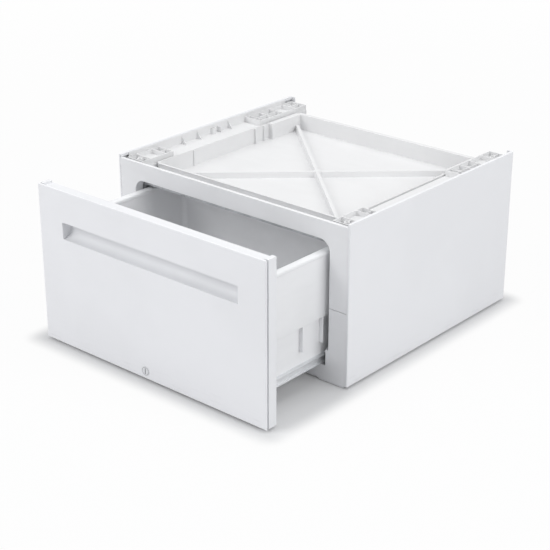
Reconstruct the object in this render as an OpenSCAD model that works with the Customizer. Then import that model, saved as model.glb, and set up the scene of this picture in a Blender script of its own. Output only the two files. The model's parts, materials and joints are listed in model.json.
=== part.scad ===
// Laundry pedestal with one drawer: a low steel cabinet that stands on four levelling feet,
// carries a washer on four foot seats in its top deck, and holds a drawer on ball slides.
// Millimetres. X to the right seen from the front, Y to the rear, Z up.
// Origin: centre of the cabinet's footprint, on the floor. The drawer stands partly open.

/* [Cabinet] */
// Width over the side panels
cab_w = 686; // [600:1:760]
// Depth from the front frame's face to the rear flanges
cab_d = 616; // [540:1:720]
// Height from the floor to the top edges of the side panels
cab_h = 381; // [340:1:460]
// Gap between the floor and the sheet steel, with the feet screwed in
foot_gap = 6; // [5:0.5:12]
// Sheet of the side and back panels
sheet = 1.2; // [0.8:0.1:2]
// Sheet of the rails, posts and beams
rail_t = 2; // [1.2:0.1:3]
// Folded front flange of a side panel, seen beside the front frame
side_front_flange = 5.5; // [3:0.5:8]

/* [Front frame] */
// Width of a jamb, from the cabinet's side to the drawer opening
jamb_w = 53; // [46:1:70]
// Height from the opening's top edge up to the side panels' top edges
head_h = 49.5; // [40:0.5:60]
// Drop of the frame's top edge below the side panels' top edges
frame_drop = 7.5; // [4:0.5:12]
// Radius of the opening's upper corners
open_r = 27; // [10:1:40]
// Height of the joint between the frame and the plinth moulding
seam_z = 178; // [140:1:200]
// Top of the plinth that the drawer passes over
plinth_top = 39; // [34:1:48]
// Wall of the frame and plinth mouldings
mould_t = 3; // [2:0.25:4]
// Depth of their returned edges
mould_deep = 24; // [16:1:26]
// Depth of the return along the frame's top edge
top_return = 8; // [5:1:20]

/* [Drawer] */
// How far the drawer stands open
drawer_open = 218; // [0:1:250]
// Gap between the drawer's face moulding and the cabinet, drawer shut
shut_gap = 2; // [1:0.5:4]
// Inset of the drawer face from the cabinet's sides
face_inset = 8.5; // [4:0.5:14]
// Thickness of the whole drawer face
face_t = 32; // [29:1:40]
// Depth of the tub over its rim, front to rear
tub_len = 369; // [300:1:400]
// Wall of the tub
tub_t = 3; // [2:0.25:4]
// Height of the lower edge of the tub's outer skirt
skirt_z = 156; // [120:1:180]
// Corner radius of the tub's rim seen from above
tub_r = 28; // [24:1:40]
// Drop of the tub's rim below the opening's top edge
rim_drop = 25.5; // [12:0.5:50]
// Width of the rolled rim
rim_w = 18; // [12:1:24]
// Height of the rolled rim
rim_h = 10; // [8:1:14]

/* [Handle] */
// Length of the finger recess
grip_w = 520; // [300:1:580]
// Height of its mouth
grip_h = 40; // [34:1:52]
// Distance from the face's top edge to the recess
grip_drop = 74.5; // [60:0.5:100]
// Thickness left behind the recess, to the rear of the drawer face
grip_back = 6; // [5:0.5:12]

/* [Slides] */
// Length of one slide
slide_len = 350; // [300:10:400]
// Height of the cabinet member
slide_h = 27; // [27:0.5:30]
// Installed thickness of one slide
slide_t = 12.7; // [12.7:0.1:14]
// Gap between the plinth's top and the slides
slide_gap = 2.5; // [1.5:0.5:6]
// Ball diameter
ball_d = 3.8; // [3.6:0.1:3.9]
// Balls in one row
ball_n = 6; // [4:1:8]
// Running clearance of a ball in its grooves, and of the screw stems in their nuts
run_clear = 0.05; // [0.02:0.01:0.1]

/* [Lock] */
// Sideways place of the lock, from the cabinet's centre
lock_x = -14; // [-40:1:40]
// Height of the lock's axis
lock_z = 23.5; // [22:0.5:25]
// Outside diameter of the lock's bezel
lock_d = 23; // [21:0.5:24]
// Reach of the cam from the lock's axis
cam_reach = 16; // [14:0.5:17]

/* [Deck] */
// Drop of the tray's rim below the side panels' top edges
tray_drop = 20.5; // [14:0.5:26]
// Depth of the tray below its rim
tray_deep = 40.5; // [30:0.5:46]
// Height of the crossed ribs on the tray floor
cross_h = 14.5; // [8:0.5:20]
// Width of a side shelf, from the cabinet's side
shelf_w = 63; // [56:1:75]
// Height of the foot seat blocks
seat_h = 14; // [12:0.5:18]
// Wall round the square socket for a washer's foot
socket_wall = 2.35; // [2:0.05:4]
// Washer foot centres from the cabinet's front and rear
socket_in_y = 72; // [68:1:84]
// Diameter of the hold-down bolt holes
hold_d = 6.6; // [5:0.1:8]
// Hold-down holes from the cabinet's front and rear
hold_in_y = 34; // [34:0.5:38]

/* [Feet] */
// Diameter of a foot's pad
pad_d = 40; // [32:1:44]
// Diameter of its threaded stem
stem_d = 10; // [8:1:12]
// Foot centres from the cabinet's side
foot_in_x = 31; // [29:1:33]
// Foot centres from the cabinet's front and rear
foot_in_y = 50; // [48:1:54]

/* [Hidden] */
$fn = 64;

yf = -cab_d / 2;                       // cabinet front plane
yb = cab_d / 2;                        // cabinet rear plane
hw = cab_w / 2;                        // cabinet half width
side_in = hw - sheet;                  // inner face of a side panel
side_top_flange = 7;
side_rear_flange = 18;
side_foot_flange = 14;
side_lip = frame_drop - 0.5;           // ends above the front frame
frame_hw = hw - side_front_flange;     // frame half width
frame_top = cab_h - frame_drop;
open_hw = hw - jamb_w;                 // drawer opening half width
open_top = cab_h - head_h;
plinth_low = 1.2;                      // gap under the plinth moulding
seam_gap = 1;                          // open joint between the frame and the plinth
plinth_relief = 2.5;                   // shallow relief in the plinth's lower edge
plinth_relief_hw = open_hw - 25;
plinth_corner = 9;

slide_z = plinth_top + slide_gap + slide_h / 2;   // height of the slides' centre line
slide_x = open_hw - 7;                 // plane that the cabinet members mount on
slide_y = yf + 6;                      // front ends of the members, drawer shut
jut_x = slide_x + 0.5 - 1;             // plinth moulding's inner edge beside the slides
jut_top = slide_z + slide_h / 2 + 9;

base_z = foot_gap + sheet;             // underside of the base rails
rail_y0 = yf + 4.5;
rail_y1 = yb - 9;
rail_wall_z = jut_top + 4.5;
rail_x0 = slide_x;                     // inner face of a base rail
rail_x1 = side_in;
post_x0 = max(rail_x0 + rail_t + 1, cab_w / 2 - shelf_w + 6);   // clear of the rail and the tray
post_x1 = side_in - rail_t - 0.8;
post_y = 45;                           // depth of a corner post
post_front = yf + 28;
post_rear = yb - 9;
post_top = cab_h - 41;

shelf_z = cab_h - 26.5;                // underside of the side shelves
shelf_t = 2.5;
shelf_x = hw - shelf_w;                // inner edge of a side shelf
shelf_y0 = yf + mould_deep + 0.5;
shelf_y1 = yb - 8;
shelf_top = shelf_z + shelf_t;
upright_t = 2.2;                       // upright wall along the shelf's outer edge
upright_x1 = hw - side_top_flange - 0.3;
upright_x0 = upright_x1 - upright_t;
upright_y1 = yb - 32;                  // rear end of the upright wall
gusset_y = [-107, -54, 57];
gusset_len = 18;
boss_y = 0;

tray_hw = shelf_x - 2.5;               // tray half width
tray_y0 = yf + 58;
tray_y1 = yb - 54;
tray_rim = cab_h - tray_drop;
tray_t = 2.5;
tray_floor = tray_rim - tray_deep;
tray_rear_lip = 11;
tray_front_lip = 5;
tray_pad_w = 13;                       // boxed-in rear corners: width and depth
tray_pad_len = 109;
ledge_z = tray_floor + 14;             // tray ledges and beam tops
beam_z = open_top - rim_drop + 6;      // undersides of the beams, clear of the tub's rim
beam_y0 = post_front;
beam_y1 = tray_y0 - 2;
rear_beam_y0 = tray_y1 + tray_t + 2;
rear_beam_y1 = rear_beam_y0 + 28;

seat_y0 = yf + 18;                     // front seat block, overhanging the shelf's end
seat_front_len = 102;
seat_rear_len = 180;
seat_rear_y1 = shelf_y1;
seat_x0 = shelf_x + 1.5;
seat_x1 = upright_x0 - 0.4;
seat_wall = 2.2;
seat_cell = 37;                        // pitch of the seats' cross ribs
seat_z = shelf_top;
seat_mid_x = (seat_x0 + seat_x1) / 2;
hold_y = yb - hold_in_y;               // hold-down holes, from the centre
socket_floor = 3;
socket_w = seat_x1 - seat_x0 - 2 * socket_wall;
socket_y = yb - socket_in_y;

face_hw = hw - face_inset;
face_z0 = 5.7;
face_z1 = cab_h - 0.5;
face_y1 = yf - shut_gap;               // rear of the drawer face, drawer shut
face_y0 = face_y1 - face_t;            // front of the drawer face, drawer shut
skin_deep = 3.5;                       // skin edge seen from the side
face_groove = 4.5;                     // shadow groove behind it
groove_in = 4;
skin_t = 1.2;
cap_w = 11.4;
cap_y0 = face_y0 + skin_deep + face_groove;
liner_t = 2;
liner_top = face_z1 - 4;
liner_z0 = face_z0 + 2.3;

rim_hw = open_hw - 9;                  // outer edge of the rim
skirt_off = 2;                         // skirt, inwards from the rim's outer edge
rim_z = open_top - rim_drop;
bracket_t = 1.5;
tub_low_hw = slide_x - slide_t - bracket_t;
tub_z0 = plinth_top + 5.5;
tub_y0 = face_y1;
tub_y1 = face_y1 + tub_len;
basin_off = rim_hw - tub_low_hw;       // basin wall, inwards from the rim's outer edge
rib_pitch = 66;
rib_t = 3;
rib_z0 = 95;

grip_z1 = face_z1 - grip_drop;         // upper edge of the handle mouth
grip_z0 = grip_z1 - grip_h;
grip_wall = 2;
grip_deep = face_t - grip_back;

lock_bore = 14.1;
rotor_r = lock_bore / 2 - run_clear;
shank_r = 4;
cam_t = 3;
cam_y0 = yf + 5.2;                     // cam, drawer shut
strike_t = 1.5;
strike_y = yf + mould_t;

nut_h = 8;
foot_travel = 12;
stem_r = stem_d / 2 - run_clear;

ball_r = ball_d / 2;
groove_r = ball_r + run_clear;
race_v = slide_h / 2 - 2.8;            // height of the ball rows from the slide's centre line
race_u = 7;                            // their distance from the cabinet's mounting plane
member_t = 1.2;
ball_pitch = 16;
cage_len = ball_n * ball_pitch;

// ---- shapes that repeat ----

// Box from its low corner to its high corner
module block(a, b) {
  translate(a) cube([b[0] - a[0], b[1] - a[1], b[2] - a[2]]);
}

// Rectangle with round corners, from its low corner to its high corner
module round_rect(a, b, r) {
  union() {
    translate([a[0] + r, a[1]]) square([b[0] - a[0] - 2 * r, b[1] - a[1]]);
    translate([a[0], a[1] + r]) square([b[0] - a[0], b[1] - a[1] - 2 * r]);
    for (x = [a[0] + r, b[0] - r], y = [a[1] + r, b[1] - r]) translate([x, y]) circle(r);
  }
}

// Plate in the X-Z plane between two Y values, from a 2D outline in X and Z
module wall_xz(y0, y1) {
  translate([0, y1, 0]) rotate([90, 0, 0]) linear_extrude(height = y1 - y0) children();
}

// Bar along Y between two Y values, from a 2D section in X and Z
module bar_y(y0, y1) {
  wall_xz(y0, y1) children();
}

// Left-hand copy of a right-hand piece
module left() {
  mirror([1, 0, 0]) children();
}

// The drawer's share of travel: 1 for the drawer itself, less for the slide parts between
module opened(share) {
  translate([0, -drawer_open * share, 0]) children();
}

// Pan-head screw: the head on +Z, the shank down from the origin
module screw(d, length, head_d) {
  head_h = head_d * 0.32;
  difference() {
    cylinder(d = head_d, h = head_h);
    for (a = [0, 90]) rotate([0, 0, a])
      translate([-head_d * 0.3, -head_d * 0.06, head_h * 0.45]) cube([head_d * 0.6, head_d * 0.12, head_h]);
  }
  translate([0, 0, -length]) cylinder(d = d, h = length);
}

// ---- cabinet sheet metal ----

// Folded side panel with flanges all round; right-hand
module side_panel() {
  r = 2.5;
  foot_y0 = yf + mould_t + 0.5;
  difference() {
    union() {
      translate([0, 0, foot_gap]) linear_extrude(height = cab_h - foot_gap) difference() {
        union() {
          round_rect([hw - side_rear_flange, yf], [hw, yb], r);
          translate([hw - side_rear_flange, yf]) square([side_rear_flange - r, cab_d]);
        }
        round_rect([hw - side_rear_flange - 10, yf + sheet], [hw - sheet, yb - sheet], r - sheet);
        translate([hw - side_rear_flange - 1, yf - 1])
          square([side_rear_flange + 1 - side_front_flange, sheet + 2]);
      }
      block([hw - side_top_flange, yf + sheet, cab_h - sheet], [hw - sheet, yb - sheet, cab_h]);
      block([hw - side_top_flange, yf + sheet, cab_h - side_lip],
            [hw - side_top_flange + sheet, yb - sheet, cab_h]);
      block([hw - side_foot_flange, foot_y0, foot_gap], [hw - sheet, yb - sheet, foot_gap + sheet]);
    }
    for (z = back_screw_z) translate([hw - side_rear_flange / 2, yb + 1, z]) rotate([90, 0, 0])
      cylinder(d = 4.2, h = 4);
  }
}
back_screw_top = shelf_top - 57;
back_screw_z = [60, (60 + back_screw_top) / 2, back_screw_top];

// Back panel with two pressed fields, held inside the side panels' rear flanges
module back_panel() {
  press = 5;
  x1 = side_in - 1.6;
  z0 = base_z + 1;
  z1 = shelf_top - 26;
  y1 = yb - sheet;
  field_w = (2 * x1 - 150) / 2;
  color([0.86, 0.86, 0.88]) difference() {
    union() {
      block([-x1, y1 - sheet, z0], [x1, y1, z1]);
      for (s = [-1, 1]) wall_xz(y1 - sheet - press, y1 - sheet)
        round_rect([s * (field_w / 2 + 25) - field_w / 2, z0 + 45],
                   [s * (field_w / 2 + 25) + field_w / 2, z1 - 45], 20);
    }
    for (s = [-1, 1]) wall_xz(y1 - press - 0.01, y1 + 1)
      round_rect([s * (field_w / 2 + 25) - field_w / 2 + sheet, z0 + 45 + sheet],
                 [s * (field_w / 2 + 25) + field_w / 2 - sheet, z1 - 45 - sheet], 20 - sheet);
    for (s = [-1, 1], z = back_screw_z)
      translate([s * (hw - side_rear_flange / 2), y1 + 1, z]) rotate([90, 0, 0]) cylinder(d = 4.2, h = 4);
  }
}

// ---- front frame and plinth ----

// Opening outline in X and Z, grown by g, from the seam up
module opening_2d(g, z0) {
  union() {
    translate([-open_hw - g, z0]) square([2 * (open_hw + g), open_top - open_r - z0]);
    translate([-open_hw + open_r, z0]) square([2 * (open_hw - open_r), open_top + g - z0]);
    for (s = [-1, 1]) translate([s * (open_hw - open_r), open_top - open_r]) circle(open_r + g);
  }
}

// Head and jambs: a face with returned edges, open at the back
module front_frame() {
  color([0.84, 0.84, 0.86]) difference() {
    union() {
      wall_xz(yf, yf + mould_t) difference() {
        translate([-frame_hw, seam_z]) square([2 * frame_hw, frame_top - seam_z]);
        opening_2d(0, seam_z - 1);
      }
      for (s = [-1, 1]) wall_xz(yf, yf + mould_deep)
        translate([s * (frame_hw - mould_t / 2) - mould_t / 2, seam_z]) square([mould_t, shelf_z - 8 - seam_z]);
      wall_xz(yf, yf + top_return) difference() {
        translate([-frame_hw, seam_z]) square([2 * frame_hw, frame_top - seam_z]);
        translate([-frame_hw + mould_t, seam_z - 1])
          square([2 * (frame_hw - mould_t), frame_top - mould_t - seam_z + 1]);
      }
      wall_xz(yf, yf + mould_deep) difference() {
        intersection() {
          opening_2d(mould_t, seam_z - 1);
          translate([-hw, seam_z]) square([cab_w, cab_h]);
        }
        opening_2d(0, seam_z - 2);
      }
      for (x = rib_x) wall_xz(yf + 1, yf + mould_deep - 4)
        translate([x - 1, open_top + 1]) square([2, 20]);
      for (s = [-1, 1], z = frame_boss_z) frame_boss(s * boss_x, z);
    }
    for (s = [-1, 1], z = frame_boss_z) frame_pilot(s * boss_x, z);
    // small bevel along the front top edge
    translate([-frame_hw - 1, yf, frame_top - 1.5]) rotate([45, 0, 0])
      translate([0, -3, 0]) cube([2 * frame_hw + 2, 3, 6]);
  }
}
head_rib_pitch = 62;
head_ribs = floor((open_hw - open_r - 10) / head_rib_pitch);
rib_x = [for (i = [-head_ribs:head_ribs]) i * head_rib_pitch];
boss_x = (open_hw + frame_hw) / 2;
frame_boss_z = [seam_z + 27, post_top - 14];
plinth_boss_z = [seam_z - 73, seam_z - 28];
cross_screw_x = rail_x0 - 83;
cross_screw_z = base_z + 13.8;

// Screw boss from a moulding's face back to the corner post
module frame_boss(x, z) {
  translate([x, post_front, z]) rotate([90, 0, 0]) cylinder(r = 5.5, h = post_front - yf - 1);
}
module frame_pilot(x, z) {
  translate([x, post_front + 1, z]) rotate([90, 0, 0]) cylinder(d = 3.4, h = 19);
}

// Plinth outline in X and Z: threshold, lower jambs, and the step beside the slides
module plinth_2d() {
  difference() {
    union() {
      translate([-frame_hw, plinth_low + plinth_corner])
        square([2 * frame_hw, seam_z - seam_gap - plinth_low - plinth_corner]);
      translate([-frame_hw + plinth_corner, plinth_low])
        square([2 * (frame_hw - plinth_corner), plinth_corner + 1]);
      for (s = [-1, 1])
        translate([s * (frame_hw - plinth_corner), plinth_low + plinth_corner]) circle(plinth_corner);
    }
    plinth_cut_2d(0);
    translate([-plinth_relief_hw, plinth_low - 1]) square([2 * plinth_relief_hw, plinth_relief + 1]);
  }
}

// What the plinth leaves open, grown by g on its sides and shrunk at its floor
module plinth_cut_2d(g) {
  translate([-open_hw - g, jut_top]) square([2 * (open_hw + g), seam_z]);
  translate([-jut_x - g, plinth_top - g]) square([2 * (jut_x + g), seam_z]);
}

module plinth_moulding() {
  color([0.82, 0.82, 0.84]) difference() {
    union() {
      wall_xz(yf, yf + mould_t) plinth_2d();
      // outer, lower and upper returns
      wall_xz(yf, yf + mould_deep) {
        for (s = [-1, 1]) {
          translate([s * (frame_hw - mould_t / 2) - mould_t / 2, plinth_low + plinth_corner])
            square([mould_t, seam_z - seam_gap - plinth_low - plinth_corner]);
          translate([s * (open_hw + mould_t / 2) - mould_t / 2, jut_top])
            square([mould_t, seam_z - seam_gap - jut_top]);
        }
        translate([-jut_x + 1, plinth_top - 2.5]) square([2 * (jut_x - 1), 2.5]);
        translate([-plinth_relief_hw, plinth_low + plinth_relief]) square([2 * plinth_relief_hw, 2]);
      }
      for (s = [-1, 1], z = plinth_boss_z) frame_boss(s * boss_x, z);
      for (x = [-cross_screw_x, cross_screw_x]) translate([x, base_bar_y, cross_screw_z]) rotate([90, 0, 0])
        cylinder(r = 5.5, h = base_bar_y - yf - 1);
    }
    for (s = [-1, 1], z = plinth_boss_z) frame_pilot(s * boss_x, z);
    for (x = [-cross_screw_x, cross_screw_x]) translate([x, base_bar_y + 1, cross_screw_z])
      rotate([90, 0, 0]) cylinder(d = 3.4, h = 10);
    lock_window(yf - 1, yf + mould_t + 1, 1.5);
  }
}

// Window that the cam passes when it lies level; right end for the cam's tip
module lock_window(y0, y1, grow) {
  wall_xz(y0, y1)
    round_rect([lock_x - shank_r - 2 - grow, lock_z - 6.5 - grow],
               [lock_x + cam_reach + 2 + grow, lock_z + 6.5 + grow], 5);
}

// Steel plate behind the plinth that the turned cam catches
module lock_strike() {
  color([0.72, 0.72, 0.74]) difference() {
    block([lock_x - 26, strike_y, 4.5 + plinth_low], [lock_x + 36, strike_y + strike_t, plinth_top - 3]);
    lock_window(strike_y - 1, strike_y + strike_t + 1, 0);
  }
}

// ---- base and posts ----

// Base rail, an upright channel: tall inner wall for the slide, low outer wall; right-hand
module base_rail() {
  difference() {
    union() {
      block([rail_x0, rail_y0, base_z], [rail_x1, rail_y1, base_z + rail_t]);
      block([rail_x0, rail_y0, base_z], [rail_x0 + rail_t, rail_y1, rail_wall_z]);
      block([rail_x1 - rail_t, rail_y0, base_z], [rail_x1, rail_y1, base_z + 32]);
    }
    for (y = [-foot_y, foot_y]) translate([foot_x, y, base_z - 1]) cylinder(d = stem_d + 1.5, h = rail_t + 2);
    for (y = slide_hole_y) translate([rail_x0 - 1, slide_y + y, slide_z]) rotate([0, 90, 0])
      cylinder(d = 4.4, h = rail_t + 2);
  }
}
foot_x = hw - foot_in_x;
foot_y = cab_d / 2 - foot_in_y;

base_bar_y = yf + 20;                  // front face of the front crossbar
// Crossbar, a channel open towards the middle of the cabinet, between the base rails
module crossbar(y0, y1, web_y, holes) {
  z0 = base_z;
  z1 = plinth_top - 6;
  difference() {
    union() {
      block([-rail_x0, y0, z0], [rail_x0, y1, z0 + rail_t]);
      block([-rail_x0, y0, z1 - rail_t], [rail_x0, y1, z1]);
      block([-rail_x0, web_y, z0], [rail_x0, web_y + rail_t, z1]);
    }
    if (holes) for (x = [-cross_screw_x, cross_screw_x])
      translate([x, web_y + rail_t + 1, cross_screw_z]) rotate([90, 0, 0]) cylinder(d = 4.6, h = rail_t + 2);
  }
}
module base_crossbar_front() {
  color([0.78, 0.78, 0.8]) crossbar(base_bar_y, base_bar_y + 34, base_bar_y, true);
}
module base_crossbar_rear() {
  color([0.78, 0.78, 0.8]) crossbar(yb - 50, yb - 16, yb - 16 - rail_t, false);
}

// Corner post, a channel standing in the base rail, open towards the cabinet's middle
module corner_post(y0, web_front) {
  y1 = y0 + post_y;
  z0 = base_z + rail_t;
  web = web_front ? y0 : y1 - rail_t;
  difference() {
    union() {
      block([post_x0, web, z0], [post_x1, web + rail_t, post_top]);
      block([post_x0, y0, z0], [post_x0 + rail_t, y1, post_top]);
      block([post_x1 - rail_t, y0, z0], [post_x1, y1, post_top]);
    }
    if (web_front) for (z = concat(frame_boss_z, plinth_boss_z))
      translate([boss_x, web + rail_t + 1, z]) rotate([90, 0, 0]) cylinder(d = 4.4, h = rail_t + 2);
  }
}

// Inverted channel on the posts that carries a side shelf and its seats; right-hand
module shelf_rail() {
  y0 = post_front;
  y1 = post_rear;
  difference() {
    union() {
      block([post_x0, y0, shelf_z - rail_t], [post_x1, y1, shelf_z]);
      block([post_x0, y0, post_top], [post_x0 + rail_t, y1, shelf_z]);
      block([post_x1 - rail_t, y0, post_top], [post_x1, y1, shelf_z]);
    }
    for (y = [-hold_y, hold_y]) translate([seat_mid_x, y, shelf_z - rail_t - 1])
      cylinder(d = hold_d + 2, h = rail_t + 2);
  }
}

// Cross beam under the tray's ledge, a channel open downwards
module deck_beam(y0, y1) {
  color([0.8, 0.8, 0.82]) union() {
    block([-post_x0, y0, ledge_z - rail_t], [post_x0, y1, ledge_z]);
    block([-post_x0, y0, beam_z], [post_x0, y0 + rail_t, ledge_z]);
    block([-post_x0, y1 - rail_t, beam_z], [post_x0, y1, ledge_z]);
  }
}

// ---- deck ----

// Straight rib on the tray floor from one point to another
module floor_rib(a, b) {
  d = b - a;
  len = norm(d);
  ang = atan2(d[1], d[0]);
  translate([a[0], a[1], tray_floor - 1]) rotate([0, 0, ang]) rotate([90, 0, 90])
    linear_extrude(height = len)
      polygon([[-5.5, 0], [5.5, 0], [4, cross_h + 1], [-4, cross_h + 1]]);
}

// Recessed tray with crossed ribs, standing on the deck beams
module deck_tray() {
  x1 = tray_hw;
  in_y0 = tray_y0 + tray_t;
  in_y1 = tray_y1;
  z0 = tray_floor - tray_t;
  corner = 8;
  color([0.95, 0.95, 0.96]) difference() {
    union() {
      difference() {
        translate([0, 0, z0]) linear_extrude(height = tray_rim - z0)
          round_rect([-x1, tray_y0], [x1, tray_y1 + tray_t], corner);
        translate([0, 0, tray_floor]) linear_extrude(height = tray_deep + 1)
          round_rect([-x1 + tray_t, in_y0], [x1 - tray_t, in_y1], corner - tray_t);
      }
      intersection() {
        union() {
          floor_rib([-x1, tray_y0], [x1, tray_y1 + tray_t]);
          floor_rib([-x1, tray_y1 + tray_t], [x1, tray_y0]);
        }
        block([-x1 + 1, tray_y0 + 1, z0], [x1 - 1, tray_y1 + 1, tray_rim]);
      }
      translate([0, (in_y0 + in_y1) / 2, tray_floor - 1]) cylinder(r = 9, h = cross_h + 2);
      // lips of the rim and ledges on the beams
      block([-x1 + corner, tray_y0 - tray_front_lip + tray_t, tray_rim - tray_t],
            [x1 - corner, tray_y0 + 1, tray_rim]);
      block([-x1 + corner, tray_y1 + 1, tray_rim - tray_t],
            [x1 - corner, tray_y1 + tray_rear_lip, tray_rim]);
      block([-x1 + corner, beam_y0 + 4, ledge_z], [x1 - corner, tray_y0 + 1, ledge_z + tray_t]);
      block([-x1 + corner, tray_y1 + 1, ledge_z], [x1 - corner, rear_beam_y1 - 4, ledge_z + tray_t]);
      // webs between the walls and the ledges
      for (i = [-3:3]) {
        block([i * 70 - 1.2, beam_y0 + 8, ledge_z + 1], [i * 70 + 1.2, tray_y0 + 1, ledge_z + 12]);
        block([i * 70 - 1.2, tray_y1 + 1, ledge_z + 1], [i * 70 + 1.2, rear_beam_y1 - 8, ledge_z + 12]);
      }
      // stiffening ribs beside the clip places on the side walls
      for (s = [-1, 1], y = tray_rib_y)
        block([s * (x1 - tray_t - 1.5) - 2, y - 1.5, tray_floor - 1],
              [s * (x1 - tray_t - 1.5) + 2, y + 1.5, tray_rim - 1]);
      for (s = [-1, 1], y = tray_clip_y)
        block([s * (x1 - tray_t - 3) - 3, y - 2, tray_floor - 1],
              [s * (x1 - tray_t - 3) + 3, y + 2, tray_rim - 1]);
      tray_pad(-x1 + 1, -x1 + tray_t + tray_pad_w, 0);
      tray_pad(x1 - tray_t - tray_pad_w, x1 - 1, 0);
    }
    tray_pad(-x1 + tray_t, -x1 + tray_pad_w, tray_t);
    tray_pad(x1 - tray_pad_w, x1 - tray_t, tray_t);
  }
}
tray_rib_y = [-128];
tray_clip_y = [92, 124];

// Boxed-in rear corner of the tray, or with in > 0 its hollow, open below
module tray_pad(x0, x1, in) {
  z0 = tray_floor - tray_t - in;
  block([x0, tray_y1 - tray_pad_len + in, z0], [x1, tray_y1 + 1 - in, tray_rim - in]);
}

// Shelf beside the tray with an upright outer wall, gussets and a boss; right-hand
module side_shelf() {
  boss_x = upright_x0 - 4;
  difference() {
    union() {
      block([shelf_x, shelf_y0, shelf_z], [side_in - 0.4, shelf_y1, shelf_top]);
      block([shelf_x, shelf_y0, shelf_z - 13], [shelf_x + 2, shelf_y1, shelf_top]);
      block([upright_x0, shelf_y0, shelf_z], [upright_x1, upright_y1, cab_h - sheet - 0.4]);
      for (y = gusset_y) translate([upright_x0 + 0.5, y + 1.25, shelf_top - 0.5]) rotate([90, 0, 0])
        linear_extrude(height = 2.5) polygon([[0, 0], [-gusset_len, 0], [0, cab_h - shelf_top - 4]]);
      translate([boss_x, boss_y, shelf_top - 1]) cylinder(r = 6, h = 17);
      block([boss_x, boss_y - 6, shelf_top - 1], [upright_x0 + 1, boss_y + 6, shelf_top + 16]);
      block([boss_x - 8, boss_y + 18, shelf_top - 1], [upright_x0 + 1, boss_y + 21, shelf_top + 14]);
      for (i = [-3:3]) block([shelf_x + 1, i * 60 - 1, shelf_z - 8], [post_x0 - 1, i * 60 + 1, shelf_z + 1]);
    }
    translate([boss_x, boss_y, shelf_top + 2]) cylinder(d = 6, h = 20);
    for (y = [-hold_y, hold_y]) translate([seat_mid_x, y, shelf_z - 1]) cylinder(d = hold_d, h = shelf_t + 2);
  }
}

// Ribbed seat block for one washer foot, y0 to y1, socket at sy, bolt hole at hy; right-hand
module foot_seat(y0, y1, sy, hy) {
  x0 = seat_x0;
  x1 = seat_x1;
  z1 = seat_z + seat_h;
  s = socket_w / 2;
  wall = socket_wall - 0.15;
  difference() {
    union() {
      difference() {
        block([x0, y0, seat_z], [x1, y1, z1]);
        block([x0 + seat_wall, y0 + seat_wall, seat_z + 2], [x1 - seat_wall, y1 - seat_wall, z1 + 1]);
      }
      block([seat_mid_x - 0.9, y0 + 1, seat_z + 1], [seat_mid_x + 0.9, y1 - 1, z1 - 1.5]);
      for (i = [0:3], d = [-1, 1]) {
        y = sy + d * (s + wall / 2 + i * seat_cell);
        if (y > y0 + 6 && y < y1 - 6) block([x0 + 1, y - 0.9, seat_z + 1], [x1 - 1, y + 0.9, z1 - 1.5]);
      }
      translate([seat_mid_x, sy, seat_z]) linear_extrude(height = seat_h)
        round_rect([-s - wall, -s - wall], [s + wall, s + wall], 6);
      translate([seat_mid_x, hy, seat_z]) cylinder(r = hold_d / 2 + 3, h = seat_h - 1.5);
    }
    translate([seat_mid_x, sy, seat_z + socket_floor]) linear_extrude(height = seat_h)
      round_rect([-s, -s], [s, s], 4);
    translate([seat_mid_x, hy, seat_z - 1]) cylinder(d = hold_d, h = seat_h + 2);
  }
}
module foot_seat_front() {
  color([0.93, 0.93, 0.94])
    foot_seat(seat_y0, seat_y0 + seat_front_len, -socket_y, -hold_y);
}
module foot_seat_rear() {
  color([0.93, 0.93, 0.94])
    foot_seat(seat_rear_y1 - seat_rear_len, seat_rear_y1, socket_y, hold_y);
}

// ---- slides: section drawn with u from the cabinet side, v up from the centre line ----

// Place a slide section: u runs inwards from the cabinet's mounting plane; right-hand
module slide_bar(y0, y1) {
  bar_y(y0, y1) translate([slide_x, slide_z]) mirror([1, 0]) children();
}

// Two equal strips of a section, above and below the centre line
module strips(u0, u1, v0, v1) {
  for (s = [-1, 1]) translate([u0, s * (v0 + v1) / 2 - (v1 - v0) / 2]) square([u1 - u0, v1 - v0]);
}

// Two ball grooves, above and below the centre line
module grooves(u, v) {
  for (s = [-1, 1]) translate([u, s * v]) circle(groove_r);
}

slide_half = slide_h / 2;
outer_u = 11.2;                        // depth of the cabinet member
cage_t = 0.4;
cage_u0 = 1.6;                         // ball cage, from its web to its edges
cage_u1 = 9.6;
inner_half = race_v - 1.6;             // drawer member's outer half height
bracket_z1 = slide_z + inner_half;

// Cabinet member: web, two flanges, lips and ball grooves
module slide_outer() {
  color([0.76, 0.77, 0.78]) difference() {
    slide_bar(slide_y, slide_y + slide_len) difference() {
      union() {
        translate([0, -slide_half]) square([member_t, slide_h]);
        strips(0, outer_u, slide_half - member_t, slide_half);
        strips(outer_u - member_t, outer_u, slide_half - 3, slide_half);
      }
      grooves(race_u, race_v);
    }
    for (y = slide_hole_y) translate([slide_x + 1, slide_y + y, slide_z]) rotate([0, -90, 0])
      cylinder(d = 4.4, h = member_t + 2);
  }
}
slide_hole_y = [75, slide_len / 2, slide_len - 25];

// Drawer member: web against the drawer's bracket, flanges towards the cabinet
module slide_inner() {
  color([0.77, 0.78, 0.79]) slide_bar(slide_y, slide_y + slide_len) difference() {
    union() {
      translate([slide_t - member_t, -inner_half]) square([member_t, 2 * inner_half]);
      strips(4 * member_t, slide_t, inner_half - member_t, inner_half);
    }
    grooves(race_u, race_v);
  }
}

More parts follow.
